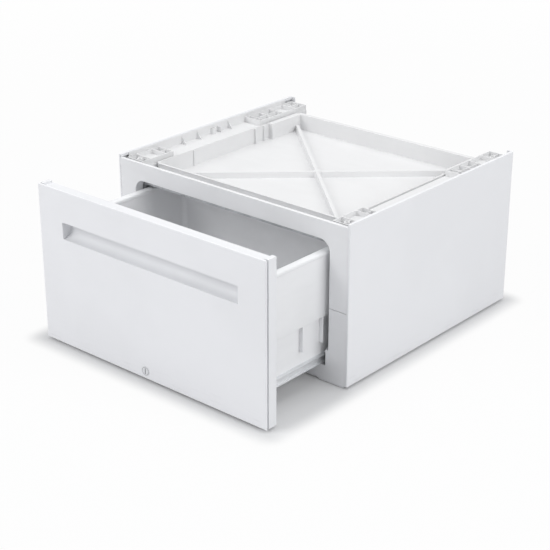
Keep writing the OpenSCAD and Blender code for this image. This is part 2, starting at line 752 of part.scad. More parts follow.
// Ball cage: thin web and two strips with a hole for each ball
module ball_cage() {
  y0 = slide_y + (slide_len - cage_len) / 2;
  color([0.7, 0.68, 0.6]) difference() {
    slide_bar(y0, y0 + cage_len) union() {
      translate([cage_u0, -race_v]) square([cage_t, 2 * race_v]);
      strips(cage_u0, cage_u1, race_v - 0.3, race_v + 0.3);
    }
    for (i = [0:ball_n - 1], s = [-1, 1])
      translate([slide_x - race_u, y0 + (i + 0.5) * ball_pitch, slide_z + s * race_v - 2])
        cylinder(r = ball_r + 0.1, h = 4, $fn = 32);
  }
}

module slide_balls() {
  y0 = slide_y + (slide_len - cage_len) / 2;
  color([0.6, 0.6, 0.62]) for (i = [0:ball_n - 1], s = [-1, 1])
    translate([slide_x - race_u, y0 + (i + 0.5) * ball_pitch, slide_z + s * race_v])
      sphere(r = ball_r, $fn = 32);
}

// ---- drawer ----

// Face skin: a shallow pan with bevelled front edges, open for the handle and the lock
module drawer_skin() {
  bevel = 1.6;
  color([0.9, 0.9, 0.93]) difference() {
    block([-face_hw, face_y0, face_z0], [face_hw, face_y0 + skin_deep, face_z1]);
    block([-face_hw + skin_t, face_y0 + skin_t, face_z0 + skin_t],
          [face_hw - skin_t, face_y0 + skin_deep + 1, face_z1 - skin_t]);
    for (z = [face_z0, face_z1]) translate([0, face_y0, z]) rotate([45, 0, 0])
      cube([cab_w + 10, bevel, bevel], center = true);
    for (s = [-1, 1]) translate([s * face_hw, face_y0, cab_h / 2]) rotate([0, 0, 45])
      cube([bevel, bevel, cab_h + 10], center = true);
    wall_xz(face_y0 - 1, face_y0 + skin_deep) round_rect([-grip_w / 2, grip_z0], [grip_w / 2, grip_z1], 3);
    translate([lock_x, face_y0 + skin_deep, lock_z]) rotate([90, 0, 0]) cylinder(d = 18.2, h = skin_deep + 1);
  }
}

// Profile of the handle recess: d into the face, z up; grown by g
module grip_2d(g) {
  r = grip_deep;
  hook_r = grip_deep / 2 - 3;
  union() {
    intersection() {
      translate([0, grip_z0 + r]) circle(r + g);
      translate([-1, grip_z0 - g]) square([r + g + 1, r + g]);
    }
    translate([-1, grip_z0 + r]) square([r + g + 1, grip_h - r + g]);
    translate([grip_deep - 2 * hook_r - g, grip_z1 - 1]) square([2 * (hook_r + g), 3]);
    translate([grip_deep - hook_r, grip_z1 + 2]) circle(hook_r + g);
  }
}

// Turn a profile in depth and height into a bar along X
module bar_x(half) {
  translate([-half, face_y0, 0]) rotate([90, 0, 90]) linear_extrude(height = 2 * half) children();
}

// Moulded finger recess behind the skin, with a flange round its mouth
module handle_pocket() {
  y0 = face_y0 + skin_t;
  color([0.88, 0.88, 0.9]) difference() {
    union() {
      intersection() {
        bar_x(grip_w / 2 + grip_wall) grip_2d(grip_wall);
        block([-hw, y0, 0], [hw, face_y1, cab_h]);
      }
      wall_xz(y0, y0 + skin_deep - skin_t)
        round_rect([-grip_w / 2 - 10, grip_z0 - 10], [grip_w / 2 + 10, grip_z1 + 18], 6);
    }
    bar_x(grip_w / 2) grip_2d(0);
  }
}

// Inner shell of the drawer face, between the end caps
module drawer_liner() {
  x1 = face_hw - cap_w;
  y0 = face_y0 + skin_deep;
  color([0.87, 0.87, 0.89]) difference() {
    union() {
      difference() {
        block([-x1, face_y0 + skin_t, liner_z0], [x1, face_y1, liner_top]);
        block([-x1 + liner_t, face_y0, liner_z0 + liner_t],
              [x1 - liner_t, face_y1 - liner_t, liner_top - liner_t]);
      }
      for (x = liner_rib_x) {
        block([x - 1, y0 + 1, liner_z0 + 1], [x + 1, face_y1 - 1, grip_z0 - 14]);
        block([x - 1, y0 + 1, grip_z1 + 22], [x + 1, face_y1 - 1, liner_top - 1]);
      }
      translate([lock_x, y0 + 8, lock_z]) rotate([-90, 0, 0]) cylinder(d = 26, h = face_y1 - y0 - 9);
    }
    translate([lock_x, y0, lock_z]) rotate([-90, 0, 0]) cylinder(d = 18.2, h = face_t);
    for (x = face_screw_x, z = face_screw_z) translate([x, face_y1 - liner_t - 1, z]) rotate([-90, 0, 0])
      cylinder(d = 4.4, h = liner_t + 2);
  }
}
liner_pitch = 68;
liner_ribs = floor((face_hw - cap_w - 30) / liner_pitch);
liner_rib_x = [for (i = [-liner_ribs:liner_ribs]) if (i != 0) i * liner_pitch];
face_screw_x = [for (i = [-2.5, -0.5, 0.5, 2.5]) i * liner_pitch];
face_screw_z = [80, grip_z0 - 36];

// End cap of the drawer face with a groove behind the skin's edge; right-hand
module end_cap() {
  x0 = face_hw - cap_w;
  y0 = face_y0 + skin_deep;
  color([0.88, 0.88, 0.9]) union() {
    block([x0, cap_y0, face_z0], [face_hw, face_y1, face_z1 + 0.3]);
    block([x0, y0, face_z0 + groove_in], [face_hw - groove_in, cap_y0, face_z1 - groove_in]);
  }
}

// Outline of the tub seen from above, a distance inwards from the rim's outer edge
module tub_plan(off) {
  round_rect([-rim_hw + off, tub_y0 + off], [rim_hw - off, tub_y1 - off], tub_r - off);
}

// Section of the rim, from its outer edge inwards, hollow underneath
module rim_2d() {
  difference() {
    round_rect([-rim_w, rim_z - rim_h], [0, rim_z], 3.6);
    translate([-basin_off, rim_z - rim_h - 1])
      square([basin_off - skirt_off - tub_t, rim_h - tub_t + 1]);
  }
}

// Straight length of rim along Y or along X
module rim_side() {
  bar_y(tub_y0 + tub_r, tub_y1 - tub_r) translate([rim_hw, 0]) rim_2d();
}
module rim_end() {
  half = rim_hw - tub_r;
  translate([-half, 0, 0]) rotate([90, 0, 90]) linear_extrude(height = 2 * half)
    translate([tub_y1, 0]) rim_2d();
}
module rim_corner() {
  translate([rim_hw - tub_r, tub_y1 - tub_r, 0]) rotate_extrude(angle = 90) translate([tub_r, 0]) rim_2d();
}

// The same at the tub's other end
module tub_front() {
  translate([0, tub_y0 + tub_y1, 0]) mirror([0, 1, 0]) children();
}

// Tub: basin, rolled rim with an outer skirt, gusset ribs below the skirt, screw bosses in front
module drawer_tub() {
  rib_x1 = rim_hw - skirt_off;
  boss_len = basin_off + 1;
  color([0.86, 0.86, 0.88]) difference() {
    union() {
      difference() {
        translate([0, 0, tub_z0]) linear_extrude(height = rim_z - 4 - tub_z0) tub_plan(basin_off);
        translate([0, 0, tub_z0 + tub_t]) linear_extrude(height = cab_h) tub_plan(basin_off + tub_t);
      }
      translate([0, 0, skirt_z]) linear_extrude(height = rim_z - 4 - skirt_z) difference() {
        tub_plan(skirt_off);
        tub_plan(skirt_off + tub_t);
      }
      rim_side();
      left() rim_side();
      rim_end();
      tub_front() rim_end();
      rim_corner();
      left() rim_corner();
      tub_front() rim_corner();
      tub_front() left() rim_corner();
      for (y = tub_rib_y) {
        block([tub_low_hw - 0.5, y, rib_z0], [rib_x1, y + rib_t, skirt_z + 1]);
        block([-rib_x1, y, rib_z0], [-tub_low_hw + 0.5, y + rib_t, skirt_z + 1]);
      }
      for (x = tub_rib_x)
        block([x, tub_y1 - basin_off - 0.5, rib_z0], [x + rib_t, tub_y1 - skirt_off, skirt_z + 1]);
      for (x = face_screw_x, z = face_screw_z) translate([x, tub_y0, z]) rotate([-90, 0, 0])
        cylinder(d = 11, h = boss_len);
    }
    for (x = face_screw_x, z = face_screw_z) translate([x, tub_y0 - 1, z]) rotate([-90, 0, 0])
      cylinder(d = 4.4, h = basin_off + tub_t + 2);
  }
}
tub_rib_y = [for (i = [0:3]) tub_y0 + 148 + i * rib_pitch];
tub_rear_pitch = 100;
tub_rear_ribs = floor((tub_low_hw - 30) / tub_rear_pitch);
tub_rib_x = [for (i = [-tub_rear_ribs:tub_rear_ribs]) i * tub_rear_pitch];

// Steel bracket between the tub and the drawer member of the slide; right-hand
module drawer_bracket() {
  y0 = tub_y0 + 2;
  y1 = tub_y1 - basin_off;
  x1 = slide_x - slide_t;
  color([0.78, 0.78, 0.8]) union() {
    block([x1 - bracket_t, y0, tub_z0 - bracket_t], [x1, y1, bracket_z1]);
    block([x1 - 26, y0, tub_z0 - bracket_t], [x1, y1, tub_z0]);
  }
}

// Rubber bumpers behind the drawer face that meet the cabinet's front
module drawer_bumpers() {
  color([0.6, 0.6, 0.62]) for (s = [-1, 1], z = [face_z0 + 55, liner_top - 22])
    translate([s * (open_hw + 15), face_y1, z]) rotate([-90, 0, 0]) cylinder(r = 6, h = shut_gap - 0.4);
}

// ---- lock ----

module along_y(y) {
  translate([lock_x, y, lock_z]) rotate([-90, 0, 0]) children();
}

// Fixed barrel with a bezel on the face and a hex nut behind the skin
module lock_body() {
  face = face_y0 - 0.8;
  color([0.8, 0.8, 0.83]) difference() {
    union() {
      along_y(face) cylinder(d = lock_d, h = 0.8);
      along_y(face_y0 - 0.1) cylinder(d = 18, h = face_t + 0.1 - 0.5);
      along_y(face_y0 + skin_t + 0.1) cylinder(d = 24, h = 3, $fn = 6);
    }
    along_y(face - 1) cylinder(d = lock_bore, h = face_t + 4);
    along_y(face - 1) cylinder(r = lock_d / 2 - 1.9, h = 1 + 0.5);
  }
}

// Turning plug: a disc with a coin slot, a shank and a square tail
module lock_rotor() {
  face = face_y0 - 0.8;
  color([0.84, 0.84, 0.87]) difference() {
    union() {
      along_y(face) cylinder(r = lock_d / 2 - 2.9, h = 0.45);
      along_y(face + 0.4) cylinder(r = rotor_r, h = face_t - 6);
      along_y(face + face_t - 7) cylinder(r = shank_r, h = cam_y0 - (face + face_t - 7));
      along_y(cam_y0 - 0.01) translate([-2.5, -2.5, 0]) cube([5, 5, cam_t + 0.01]);
    }
    along_y(face - 1) translate([-1.1, -7, 0]) cube([2.2, 14, 2.4]);
  }
}

// Cam that lies level when the drawer is free
module lock_cam() {
  color([0.7, 0.7, 0.72]) difference() {
    wall_xz(cam_y0, cam_y0 + cam_t) union() {
      translate([lock_x, lock_z]) circle(5.5);
      translate([lock_x, lock_z - 4.5]) square([cam_reach - 4.5, 9]);
      translate([lock_x + cam_reach - 4.5, lock_z]) circle(4.5);
    }
    along_y(cam_y0 - 1) translate([-2.5, -2.5, 0]) cube([5, 5, cam_t + 2]);
  }
}

// ---- levelling feet ----

// Foot: round pad with wrench flats and a threaded stem; right-hand front
module foot() {
  color([0.35, 0.35, 0.37]) translate([foot_x, -foot_y, 0]) union() {
    cylinder(d = pad_d, h = 3.2);
    cylinder(d = 20, h = foot_gap - 0.8, $fn = 6);
    cylinder(r = stem_r, h = base_z + rail_t + nut_h + foot_travel + 3);
  }
}

// Weld nuts in the base rails that the stems turn in
module foot_nuts() {
  color([0.7, 0.7, 0.72]) for (sx = [-1, 1], sy = [-1, 1])
    translate([sx * foot_x, sy * foot_y, base_z + rail_t]) difference() {
      cylinder(d = 2 * stem_d - 1, h = nut_h, $fn = 6);
      translate([0, 0, -1]) cylinder(d = stem_d, h = nut_h + 2);
    }
}

// ---- fasteners ----

// Screws of the back panel, the front frame and the plinth
module cabinet_screws() {
  color([0.7, 0.7, 0.72]) {
    for (s = [-1, 1], z = back_screw_z)
      translate([s * (hw - side_rear_flange / 2), yb, z]) rotate([-90, 0, 0]) screw(4, 8, 8);
    for (s = [-1, 1], z = concat(frame_boss_z, plinth_boss_z))
      translate([s * boss_x, post_front + rail_t, z]) rotate([-90, 0, 0]) screw(3.4, 14, 7);
    for (x = [-cross_screw_x, cross_screw_x]) translate([x, base_bar_y + rail_t, cross_screw_z])
      rotate([-90, 0, 0]) screw(3.4, 10, 7);
  }
}

// Rivets that hold the slides' cabinet members, flush inside the slide
module slide_rivets() {
  color([0.7, 0.7, 0.72]) for (s = [-1, 1], y = slide_hole_y)
    translate([s * (slide_x + rail_t), slide_y + y, slide_z]) rotate([0, s * 90, 0]) union() {
      cylinder(d = 8, h = 1.6);
      translate([0, 0, -rail_t - member_t]) cylinder(d = 4.2, h = rail_t + member_t + 1);
    }
}

// Screws from inside the tub into the drawer face
module drawer_screws() {
  color([0.7, 0.7, 0.72]) for (x = face_screw_x, z = face_screw_z)
    translate([x, tub_y0 + basin_off + tub_t, z]) rotate([-90, 0, 0]) screw(4, basin_off + tub_t + 9, 9);
}

// ---- assembly ----

module side_panel_right() { color([0.88, 0.88, 0.91]) side_panel(); }
module side_panel_left() { left() side_panel_right(); }
module base_rail_right() { color([0.78, 0.78, 0.8]) base_rail(); }
module base_rail_left() { left() base_rail_right(); }
module corner_post_front_right() { color([0.78, 0.78, 0.8]) corner_post(post_front, true); }
module corner_post_rear_right() { color([0.78, 0.78, 0.8]) corner_post(post_rear - post_y, false); }
module corner_post_front_left() { left() corner_post_front_right(); }
module corner_post_rear_left() { left() corner_post_rear_right(); }
module deck_beam_front() { deck_beam(beam_y0, beam_y1); }
module deck_beam_rear() { deck_beam(rear_beam_y0, rear_beam_y1); }
module shelf_rail_right() { color([0.78, 0.78, 0.8]) shelf_rail(); }
module shelf_rail_left() { left() shelf_rail_right(); }
module side_shelf_right() { color([0.94, 0.94, 0.95]) side_shelf(); }
module side_shelf_left() { left() side_shelf_right(); }

side_panel_left();
side_panel_right();
back_panel();
front_frame();
plinth_moulding();
base_rail_left();
base_rail_right();
base_crossbar_front();
base_crossbar_rear();
corner_post_front_left();
corner_post_front_right();
corner_post_rear_left();
corner_post_rear_right();
deck_beam_front();
deck_beam_rear();
shelf_rail_left();
shelf_rail_right();
deck_tray();
side_shelf_left();
side_shelf_right();
left() foot_seat_front();  // foot_seat_front_left
foot_seat_front();  // foot_seat_front_right
left() foot_seat_rear();  // foot_seat_rear_left
foot_seat_rear();  // foot_seat_rear_right
left() slide_outer();  // slide_outer_left
slide_outer();  // slide_outer_right
lock_strike();
foot_nuts();
cabinet_screws();
slide_rivets();
opened(0.5) left() ball_cage();  // ball_cage_left
opened(0.5) ball_cage();  // ball_cage_right
opened(0.5) left() slide_balls();  // slide_balls_left
opened(0.5) slide_balls();  // slide_balls_right
opened(1) left() slide_inner();  // slide_inner_left
opened(1) slide_inner();  // slide_inner_right
opened(1) drawer_skin();
opened(1) drawer_liner();
opened(1) left() end_cap();  // end_cap_left
opened(1) end_cap();  // end_cap_right
opened(1) handle_pocket();
opened(1) drawer_tub();
opened(1) left() drawer_bracket();  // drawer_bracket_left
opened(1) drawer_bracket();  // drawer_bracket_right
opened(1) drawer_screws();
opened(1) drawer_bumpers();
opened(1) lock_body();
opened(1) lock_rotor();
opened(1) lock_cam();
left() foot();  // foot_front_left
foot();  // foot_front_right
mirror([0, 1, 0]) left() foot();  // foot_rear_left
mirror([0, 1, 0]) foot();  // foot_rear_right
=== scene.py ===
# %% [markdown]
# # A laundry pedestal with one drawer
# The construction model is loaded as a fixed frame: every piece of the cabinet, the drawer, the
# slides and the lock already has its real size and place. This script gives those pieces their
# finishes, builds the ones that a construction mesh shows too plainly, lights them as on a plain
# white studio floor and sets the camera where the photograph was taken.

import json
import math

import bmesh
import bpy
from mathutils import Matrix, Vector
from mathutils.geometry import delaunay_2d_cdt


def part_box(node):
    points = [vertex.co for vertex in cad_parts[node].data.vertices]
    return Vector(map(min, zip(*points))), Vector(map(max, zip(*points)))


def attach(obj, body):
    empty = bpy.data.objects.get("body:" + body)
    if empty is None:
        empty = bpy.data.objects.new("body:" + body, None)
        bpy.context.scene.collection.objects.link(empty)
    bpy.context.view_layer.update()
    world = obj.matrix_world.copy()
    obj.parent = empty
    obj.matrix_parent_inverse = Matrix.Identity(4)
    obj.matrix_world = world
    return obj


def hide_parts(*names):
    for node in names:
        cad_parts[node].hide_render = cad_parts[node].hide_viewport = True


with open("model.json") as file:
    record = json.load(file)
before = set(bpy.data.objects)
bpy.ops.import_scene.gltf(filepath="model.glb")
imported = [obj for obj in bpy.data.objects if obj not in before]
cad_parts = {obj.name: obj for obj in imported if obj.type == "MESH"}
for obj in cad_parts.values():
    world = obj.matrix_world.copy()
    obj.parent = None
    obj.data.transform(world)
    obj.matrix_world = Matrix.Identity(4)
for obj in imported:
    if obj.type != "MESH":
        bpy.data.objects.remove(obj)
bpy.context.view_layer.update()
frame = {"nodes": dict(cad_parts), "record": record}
NODES = frame["nodes"]
MM = 0.001

# %% [markdown]
# ## Camera
# The photograph looks down on the right front corner of the open drawer, through a long lens, so
# that lines stay nearly parallel. The place and the focal length were solved from the cabinet's
# edges. An alternative is to guess and slide the camera until it fits, but a solved camera keeps
# the proportions honest.

# %% Camera
CAMERA_AT = (2.0278, -2.4844, 1.4766)
CAMERA_DOWN, CAMERA_TURN = 23.701, 40.951    # degrees below level, and round the vertical
LENS_MM, SENSOR_MM = 94.77, 36
VIEW_LIMIT = 100                             # metres; the floor reaches 30


def added(name, data):
    """A new object in the scene."""
    made = bpy.data.objects.new(name, data)
    bpy.context.scene.collection.objects.link(made)
    return made


camera = added("camera", bpy.data.cameras.new("camera"))
camera.location = CAMERA_AT
camera.rotation_euler = (math.radians(90 - CAMERA_DOWN), 0, math.radians(CAMERA_TURN))
camera.data.lens = LENS_MM
camera.data.sensor_width = SENSOR_MM
camera.data.clip_end = VIEW_LIMIT
bpy.context.scene.camera = camera
print("camera at", CAMERA_AT, "lens", LENS_MM)

# %% [markdown]
# ## Shader maths in plain Python
# A finish is a graph of nodes, and a graph is tedious to write link by link. `Value` wraps the
# output of a node, so that `1 - mask * 0.2` adds the Math nodes by itself. `Graph.node` makes
# every other node: its type, its settings, then its sockets. `Finish` adds what all materials of
# this pedestal are mixed from: noises, bands of them, worn edges and relief. A noise stays mostly
# between 0.3 and 0.7, so the two limits of a band say how much of a surface a mark covers.

# %% Values and graphs
MIX_FACTOR, MIX_A, MIX_B, MIX_RESULT = 0, 6, 7, 2    # the colour sockets of a Mix node


class Value:
    """A number or vector inside a graph. Arithmetic on it adds Math nodes."""

    def __init__(self, graph, socket):
        self.graph, self.socket = graph, socket

    def maths(self, operation, first, second):
        return self.graph.node("ShaderNodeMath", {"operation": operation}, {0: first, 1: second})

    def __add__(self, other):
        return self.maths("ADD", self, other)

    def __radd__(self, other):
        return self.maths("ADD", other, self)

    def __sub__(self, other):
        return self.maths("SUBTRACT", self, other)

    def __rsub__(self, other):
        return self.maths("SUBTRACT", other, self)

    def __mul__(self, other):
        return self.maths("MULTIPLY", self, other)

    def __rmul__(self, other):
        return self.maths("MULTIPLY", other, self)


class Graph:
    """A node tree under construction."""

    def __init__(self, tree):
        self.tree = tree

    def node(self, kind, settings=None, inputs=None, output=0):
        made = self.tree.nodes.new(kind)
        for key, value in (settings or {}).items():
            setattr(made, key, value)
        for key, value in (inputs or {}).items():
            if isinstance(value, Value):
                self.tree.links.new(value.socket, made.inputs[key])
            else:
                made.inputs[key].default_value = value
        return Value(self, made.outputs[output])

    def end(self, kind, result):
        """Close the tree with an output node."""
        self.tree.links.new(result.socket, self.tree.nodes.new(kind).inputs[0])


print("values and graphs ready")

# %% Finish
EDGE_SAMPLES, EDGE_STARTS, EDGE_FULL = 4, 0.97, 0.8  # the last two: cosine of a normal's turn


class Finish(Graph):
    """One material under construction."""

    def __init__(self, name):
        self.material = bpy.data.materials.new(name)
        self.material.use_nodes = True
        super().__init__(self.material.node_tree)
        self.tree.nodes.clear()
        self.place = self.node("ShaderNodeTexCoord", output="Object")

    def noise(self, size, stretch=(1, 1, 1), detail=2.0, roughness=0.5):
        """Soft random field from 0 to 1; size is a feature's width in metres."""
        place = self.place
        if stretch != (1, 1, 1):
            place = self.node("ShaderNodeMapping", {}, {"Vector": place, "Scale": stretch})
        return self.node("ShaderNodeTexNoise", {}, {"Vector": place, "Scale": 1 / size,
                                                    "Detail": detail, "Roughness": roughness})

    def band(self, value, low, high):
        """0 below low, 1 above high, smooth between; low may be the larger one."""
        return self.node("ShaderNodeMapRange", {"interpolation_type": "SMOOTHSTEP"},
                         {"Value": value, "From Min": low, "From Max": high})

    def axis(self, letter):
        return self.node("ShaderNodeSeparateXYZ", {}, {0: self.place}, letter)

    def vector(self, operation, first, second=(0, 0, 0), output="Vector"):
        return self.node("ShaderNodeVectorMath", {"operation": operation}, {0: first, 1: second}, output)

    def outwards(self):
        """The face's own normal, before any bump."""
        return self.node("ShaderNodeNewGeometry", output="True Normal")

    def edges(self, radius):
        """1 along sharp edges and 0 on open faces, from how far a rounded normal turns away."""
        turned = self.node("ShaderNodeBevel", {"samples": EDGE_SAMPLES}, {"Radius": radius})
        aligned = self.vector("DOT_PRODUCT", turned, self.outwards(), "Value")
        return self.band(aligned, EDGE_STARTS, EDGE_FULL)

    def blend(self, factor, first, second):
        """Colour between two colours."""
        colours = [c if isinstance(c, Value) else (*c, 1) for c in (first, second)]
        return self.node("ShaderNodeMix", {"data_type": "RGBA"},
                         {MIX_FACTOR: factor, MIX_A: colours[0], MIX_B: colours[1]}, MIX_RESULT)

    def bump(self, height, depth, below=None):
        """Relief: height from 0 to 1, depth in metres, laid over another bump."""
        sockets = {"Distance": depth, "Height": height}
        if below:
            sockets["Normal"] = below
        return self.node("ShaderNodeBump", {}, sockets)

    def surface(self, **sockets):
        """The shader that the finish ends in; names with underscores for spaces."""
        shader = self.node("ShaderNodeBsdfPrincipled", {},
                           {key.replace("_", " "): value for key, value in sockets.items()})
        self.end("ShaderNodeOutputMaterial", shader)
        return self.material


def shade(colour, factor):
    """A colour made lighter or darker."""
    return tuple(min(1.0, channel * factor) for channel in colour)


print("shader helpers ready")

# %% [markdown]
# ## Studio floor, background and lamps
# The photograph stands the pedestal on pure white. The floor is a pale diffuse sheet that catches
# the object's shadow. Away from the object it fades, for the camera only, into the white of the
# background, so that no horizon and no lamp fall-off shows, and the shadow close by stays grey.
# The world lights evenly from all sides and shows itself white to the camera, mirrors and glass.
# Four large soft lamps do the rest: one high in front on the left, a weak one low in front, one
# right and one above.

# %% Floor
FLOOR_HALF = 30.0
FLOOR_COLOUR = (0.7, 0.703, 0.71)
FLOOR_CLOUD, FLOOR_CLOUDED = 0.5, 0.99    # width of its soft patches, and the light they keep
FLOOR_CENTRE, FLOOR_CLEAR = (0, -0.126, 0), (0.343, 0.434, 10)    # the object's place, half size
FADE_FROM, FADE_TO = 0.0, 0.055        # distance from the object over which the floor turns white
FADE_NEAR, FADE_FAR = 0.05, 0.94       # share of white that the camera sees, below and beside it
LAST_FROM, LAST_TO = 0.6, 4.0          # distance over which the last of the shadow goes
PURE_WHITE = (1, 1, 1, 1)

SQUARE = ((-1, -1), (1, -1), (1, 1), (-1, 1))
mesh = bpy.data.meshes.new("floor")
mesh.from_pydata([(x * FLOOR_HALF, y * FLOOR_HALF, 0) for x, y in SQUARE], [], [(0, 1, 2, 3)])
floor = added("floor", mesh)
paper = Finish("studio_floor")
seen = paper.node("ShaderNodeLightPath", output="Is Camera Ray")
clean = paper.band(paper.noise(FLOOR_CLOUD, detail=3), 0.3, 0.7)
aside = paper.vector("SUBTRACT", paper.place, FLOOR_CENTRE)
aside = paper.vector("SUBTRACT", paper.vector("ABSOLUTE", aside), FLOOR_CLEAR)
away = paper.vector("LENGTH", paper.vector("MAXIMUM", aside), output="Value")
fade = seen * (FADE_NEAR + paper.band(away, FADE_FROM, FADE_TO) * (FADE_FAR - FADE_NEAR)
               + paper.band(away, LAST_FROM, LAST_TO) * (1 - FADE_FAR))
glow = paper.node("ShaderNodeEmission", {}, {"Color": PURE_WHITE, "Strength": 1.0})
matt = paper.node("ShaderNodeBsdfDiffuse", {},
                  {"Color": paper.blend(clean, shade(FLOOR_COLOUR, FLOOR_CLOUDED), FLOOR_COLOUR)})
paper.end("ShaderNodeOutputMaterial", paper.node("ShaderNodeMixShader", {}, {0: fade, 1: matt, 2: glow}))
mesh.materials.append(paper.material)
print("floor half width", FLOOR_HALF, "m, white from", FADE_TO, "m off the object")

# %% World
WORLD_COLOUR, WORLD_LEVEL = (0.985, 0.992, 1.0, 1), 0.5

world = bpy.data.worlds.new("studio")
world.use_nodes = True
bpy.context.scene.world = world
sky = Graph(world.node_tree)
sky.tree.nodes.clear()
straight = sky.node("ShaderNodeLightPath", output="Is Camera Ray")
mirrored = sky.node("ShaderNodeLightPath", output="Is Glossy Ray")
through = sky.node("ShaderNodeLightPath", output="Is Transmission Ray")
direct = straight.maths("MAXIMUM", straight, mirrored.maths("MAXIMUM", mirrored, through))
light = sky.node("ShaderNodeBackground", {}, {"Color": WORLD_COLOUR, "Strength": WORLD_LEVEL})
shown = sky.node("ShaderNodeBackground", {}, {"Color": PURE_WHITE})
sky.end("ShaderNodeOutputWorld", sky.node("ShaderNodeMixShader", {}, {0: direct, 1: light, 2: shown}))
bpy.context.scene.view_settings.view_transform = "Standard"
print("world level", WORLD_LEVEL)

# %% Lamps
LAMPS = {                     # place, size, power in watts
    "lamp_front_high": ((-2.6, -4.2, 4.2), 3.0, 104),
    "lamp_front_low": ((-1.6, -5.4, 1.6), 2.4, 42),
    "lamp_right": ((4.4, 0.2, 2.8), 2.6, 85),
    "lamp_above": ((0.2, 0.6, 4.6), 3.0, 66),
}
LAMP_AIM = Vector((0, -0.1, 0.2))
for name, (place, size, power) in LAMPS.items():
    lamp = added(name, bpy.data.lights.new(name, "AREA"))
    lamp.data.size = size
    lamp.data.energy = power
    lamp.location = place
    lamp.rotation_euler = (LAMP_AIM - Vector(place)).to_track_quat("-Z", "Y").to_euler()
    print(name, power, "W")

# %% [markdown]
# ## Baked enamel
# The side panels, the back and the drawer front are steel sheet with a baked powder coat. Seen
# close, such a coat is never flat: it flows out into a skin of shallow waves 1 to 3 mm long, like
# an orange's. The waves are a bump from two noises. A slow noise moves the white by a percent or
# two, edges are rubbed a little smoother and greyer, and the foot of a panel collects scuffs.
# The coil is coated white on one side only; the side that faces the cabinet's middle has a thin
# grey backing coat. One recipe serves both coats, with its own peel and gloss for each.


# %% Enamel
CABINET_MIDDLE = (0, 0, 0.2)
BACKING_GREY, BACKING_PALE = (0.2, 0.2, 0.205), 1.2    # its colour, and its paler specks
BACKING_TOP, BACKING_GONE = 0.35, 0.358    # above the deck both sides are white
CLOUD, SPECK, RUB, SCUFF, STREAK = 0.22, 0.012, 0.015, 0.05, 0.004     # widths of the marks, metres
CLOUDED, SPECKED, SCUFFED, RUBBED = 0.975, 0.93, 0.72, 0.84            # light that each mark keeps
SPECK_SHARE, SCUFF_SHARE, RUB_SHARE = 0.35, 0.3, 0.5                   # how strongly each one shows
FINE_WAVE, LONG_SHARE, FINE_SHARE = 0.4, 0.7, 0.3    # the fine waves' length for a long one of 1
WAVE_DEPTH = 0.00006                       # metres
CLOUD_ROUGH, STREAK_ROUGH, SCUFF_ROUGH, RUB_SMOOTH = 0.05, 0.05, 0.2, 0.06
CLEAR_COAT, CLEAR_COAT_ROUGH = 0.15, 0.2


def enamel(name, colour, peel, gloss, edge, scuff_top, backed=False):
    """peel: wave length in metres; gloss: roughness; edge: rubbed width; scuff_top: height;
    backed: grey on the side that faces the cabinet's middle."""
    f = Finish(name)
    cloud = f.noise(CLOUD, detail=3)
    speck = f.noise(SPECK, detail=4, roughness=0.7)
    rubbed = f.edges(edge) * f.band(f.noise(RUB, detail=4), 0.35, 0.6)
    low = f.band(f.axis("Z"), scuff_top, 0.0)
    scuffs = low * f.band(f.noise(SCUFF, (1, 1, 5), 6, 0.7), 0.52, 0.7)
    tone = f.blend(f.band(cloud, 0.35, 0.65), shade(colour, CLOUDED), colour)
    tone = f.blend(f.band(speck, 0.66, 0.78) * SPECK_SHARE, tone, shade(colour, SPECKED))
    tone = f.blend(scuffs * SCUFF_SHARE, tone, shade(colour, SCUFFED))
    tone = f.blend(rubbed * RUB_SHARE, tone, shade(colour, RUBBED))
    if backed:
        from_middle = f.vector("SUBTRACT", f.place, CABINET_MIDDLE)
        facing = f.vector("DOT_PRODUCT", from_middle, f.outwards(), "Value")
        inner = f.band(facing, 0.0, -0.02) * f.band(f.axis("Z"), BACKING_GONE, BACKING_TOP)
        backing = f.blend(f.band(speck, 0.4, 0.7), BACKING_GREY, shade(BACKING_GREY, BACKING_PALE))
        tone = f.blend(inner, tone, backing)
    waves = f.noise(peel, detail=1) * LONG_SHARE + f.noise(peel * FINE_WAVE, detail=1) * FINE_SHARE
    streaks = f.band(f.noise(STREAK, (1, 1, 0.04), 5, 0.6), 0.55, 0.75)
    rough = gloss + f.band(cloud, 0.3, 0.7) * CLOUD_ROUGH + streaks * STREAK_ROUGH
    rough = rough + scuffs * SCUFF_ROUGH - rubbed * RUB_SMOOTH
    return f.surface(Base_Color=tone, Roughness=rough, Normal=f.bump(waves, WAVE_DEPTH),
                     Coat_Weight=CLEAR_COAT, Coat_Roughness=CLEAR_COAT_ROUGH)


FINISHES = {                  # by the record's material slot
    "panel_paint": enamel("panel_enamel", (0.84, 0.846, 0.868), peel=0.0022, gloss=0.36, edge=0.0009,
                          scuff_top=0.05, backed=True),
    "face_paint": enamel("face_enamel", (0.855, 0.86, 0.885), peel=0.0016, gloss=0.3, edge=0.0012,
                         scuff_top=0.06),
}
print("enamels:", list(FINISHES))
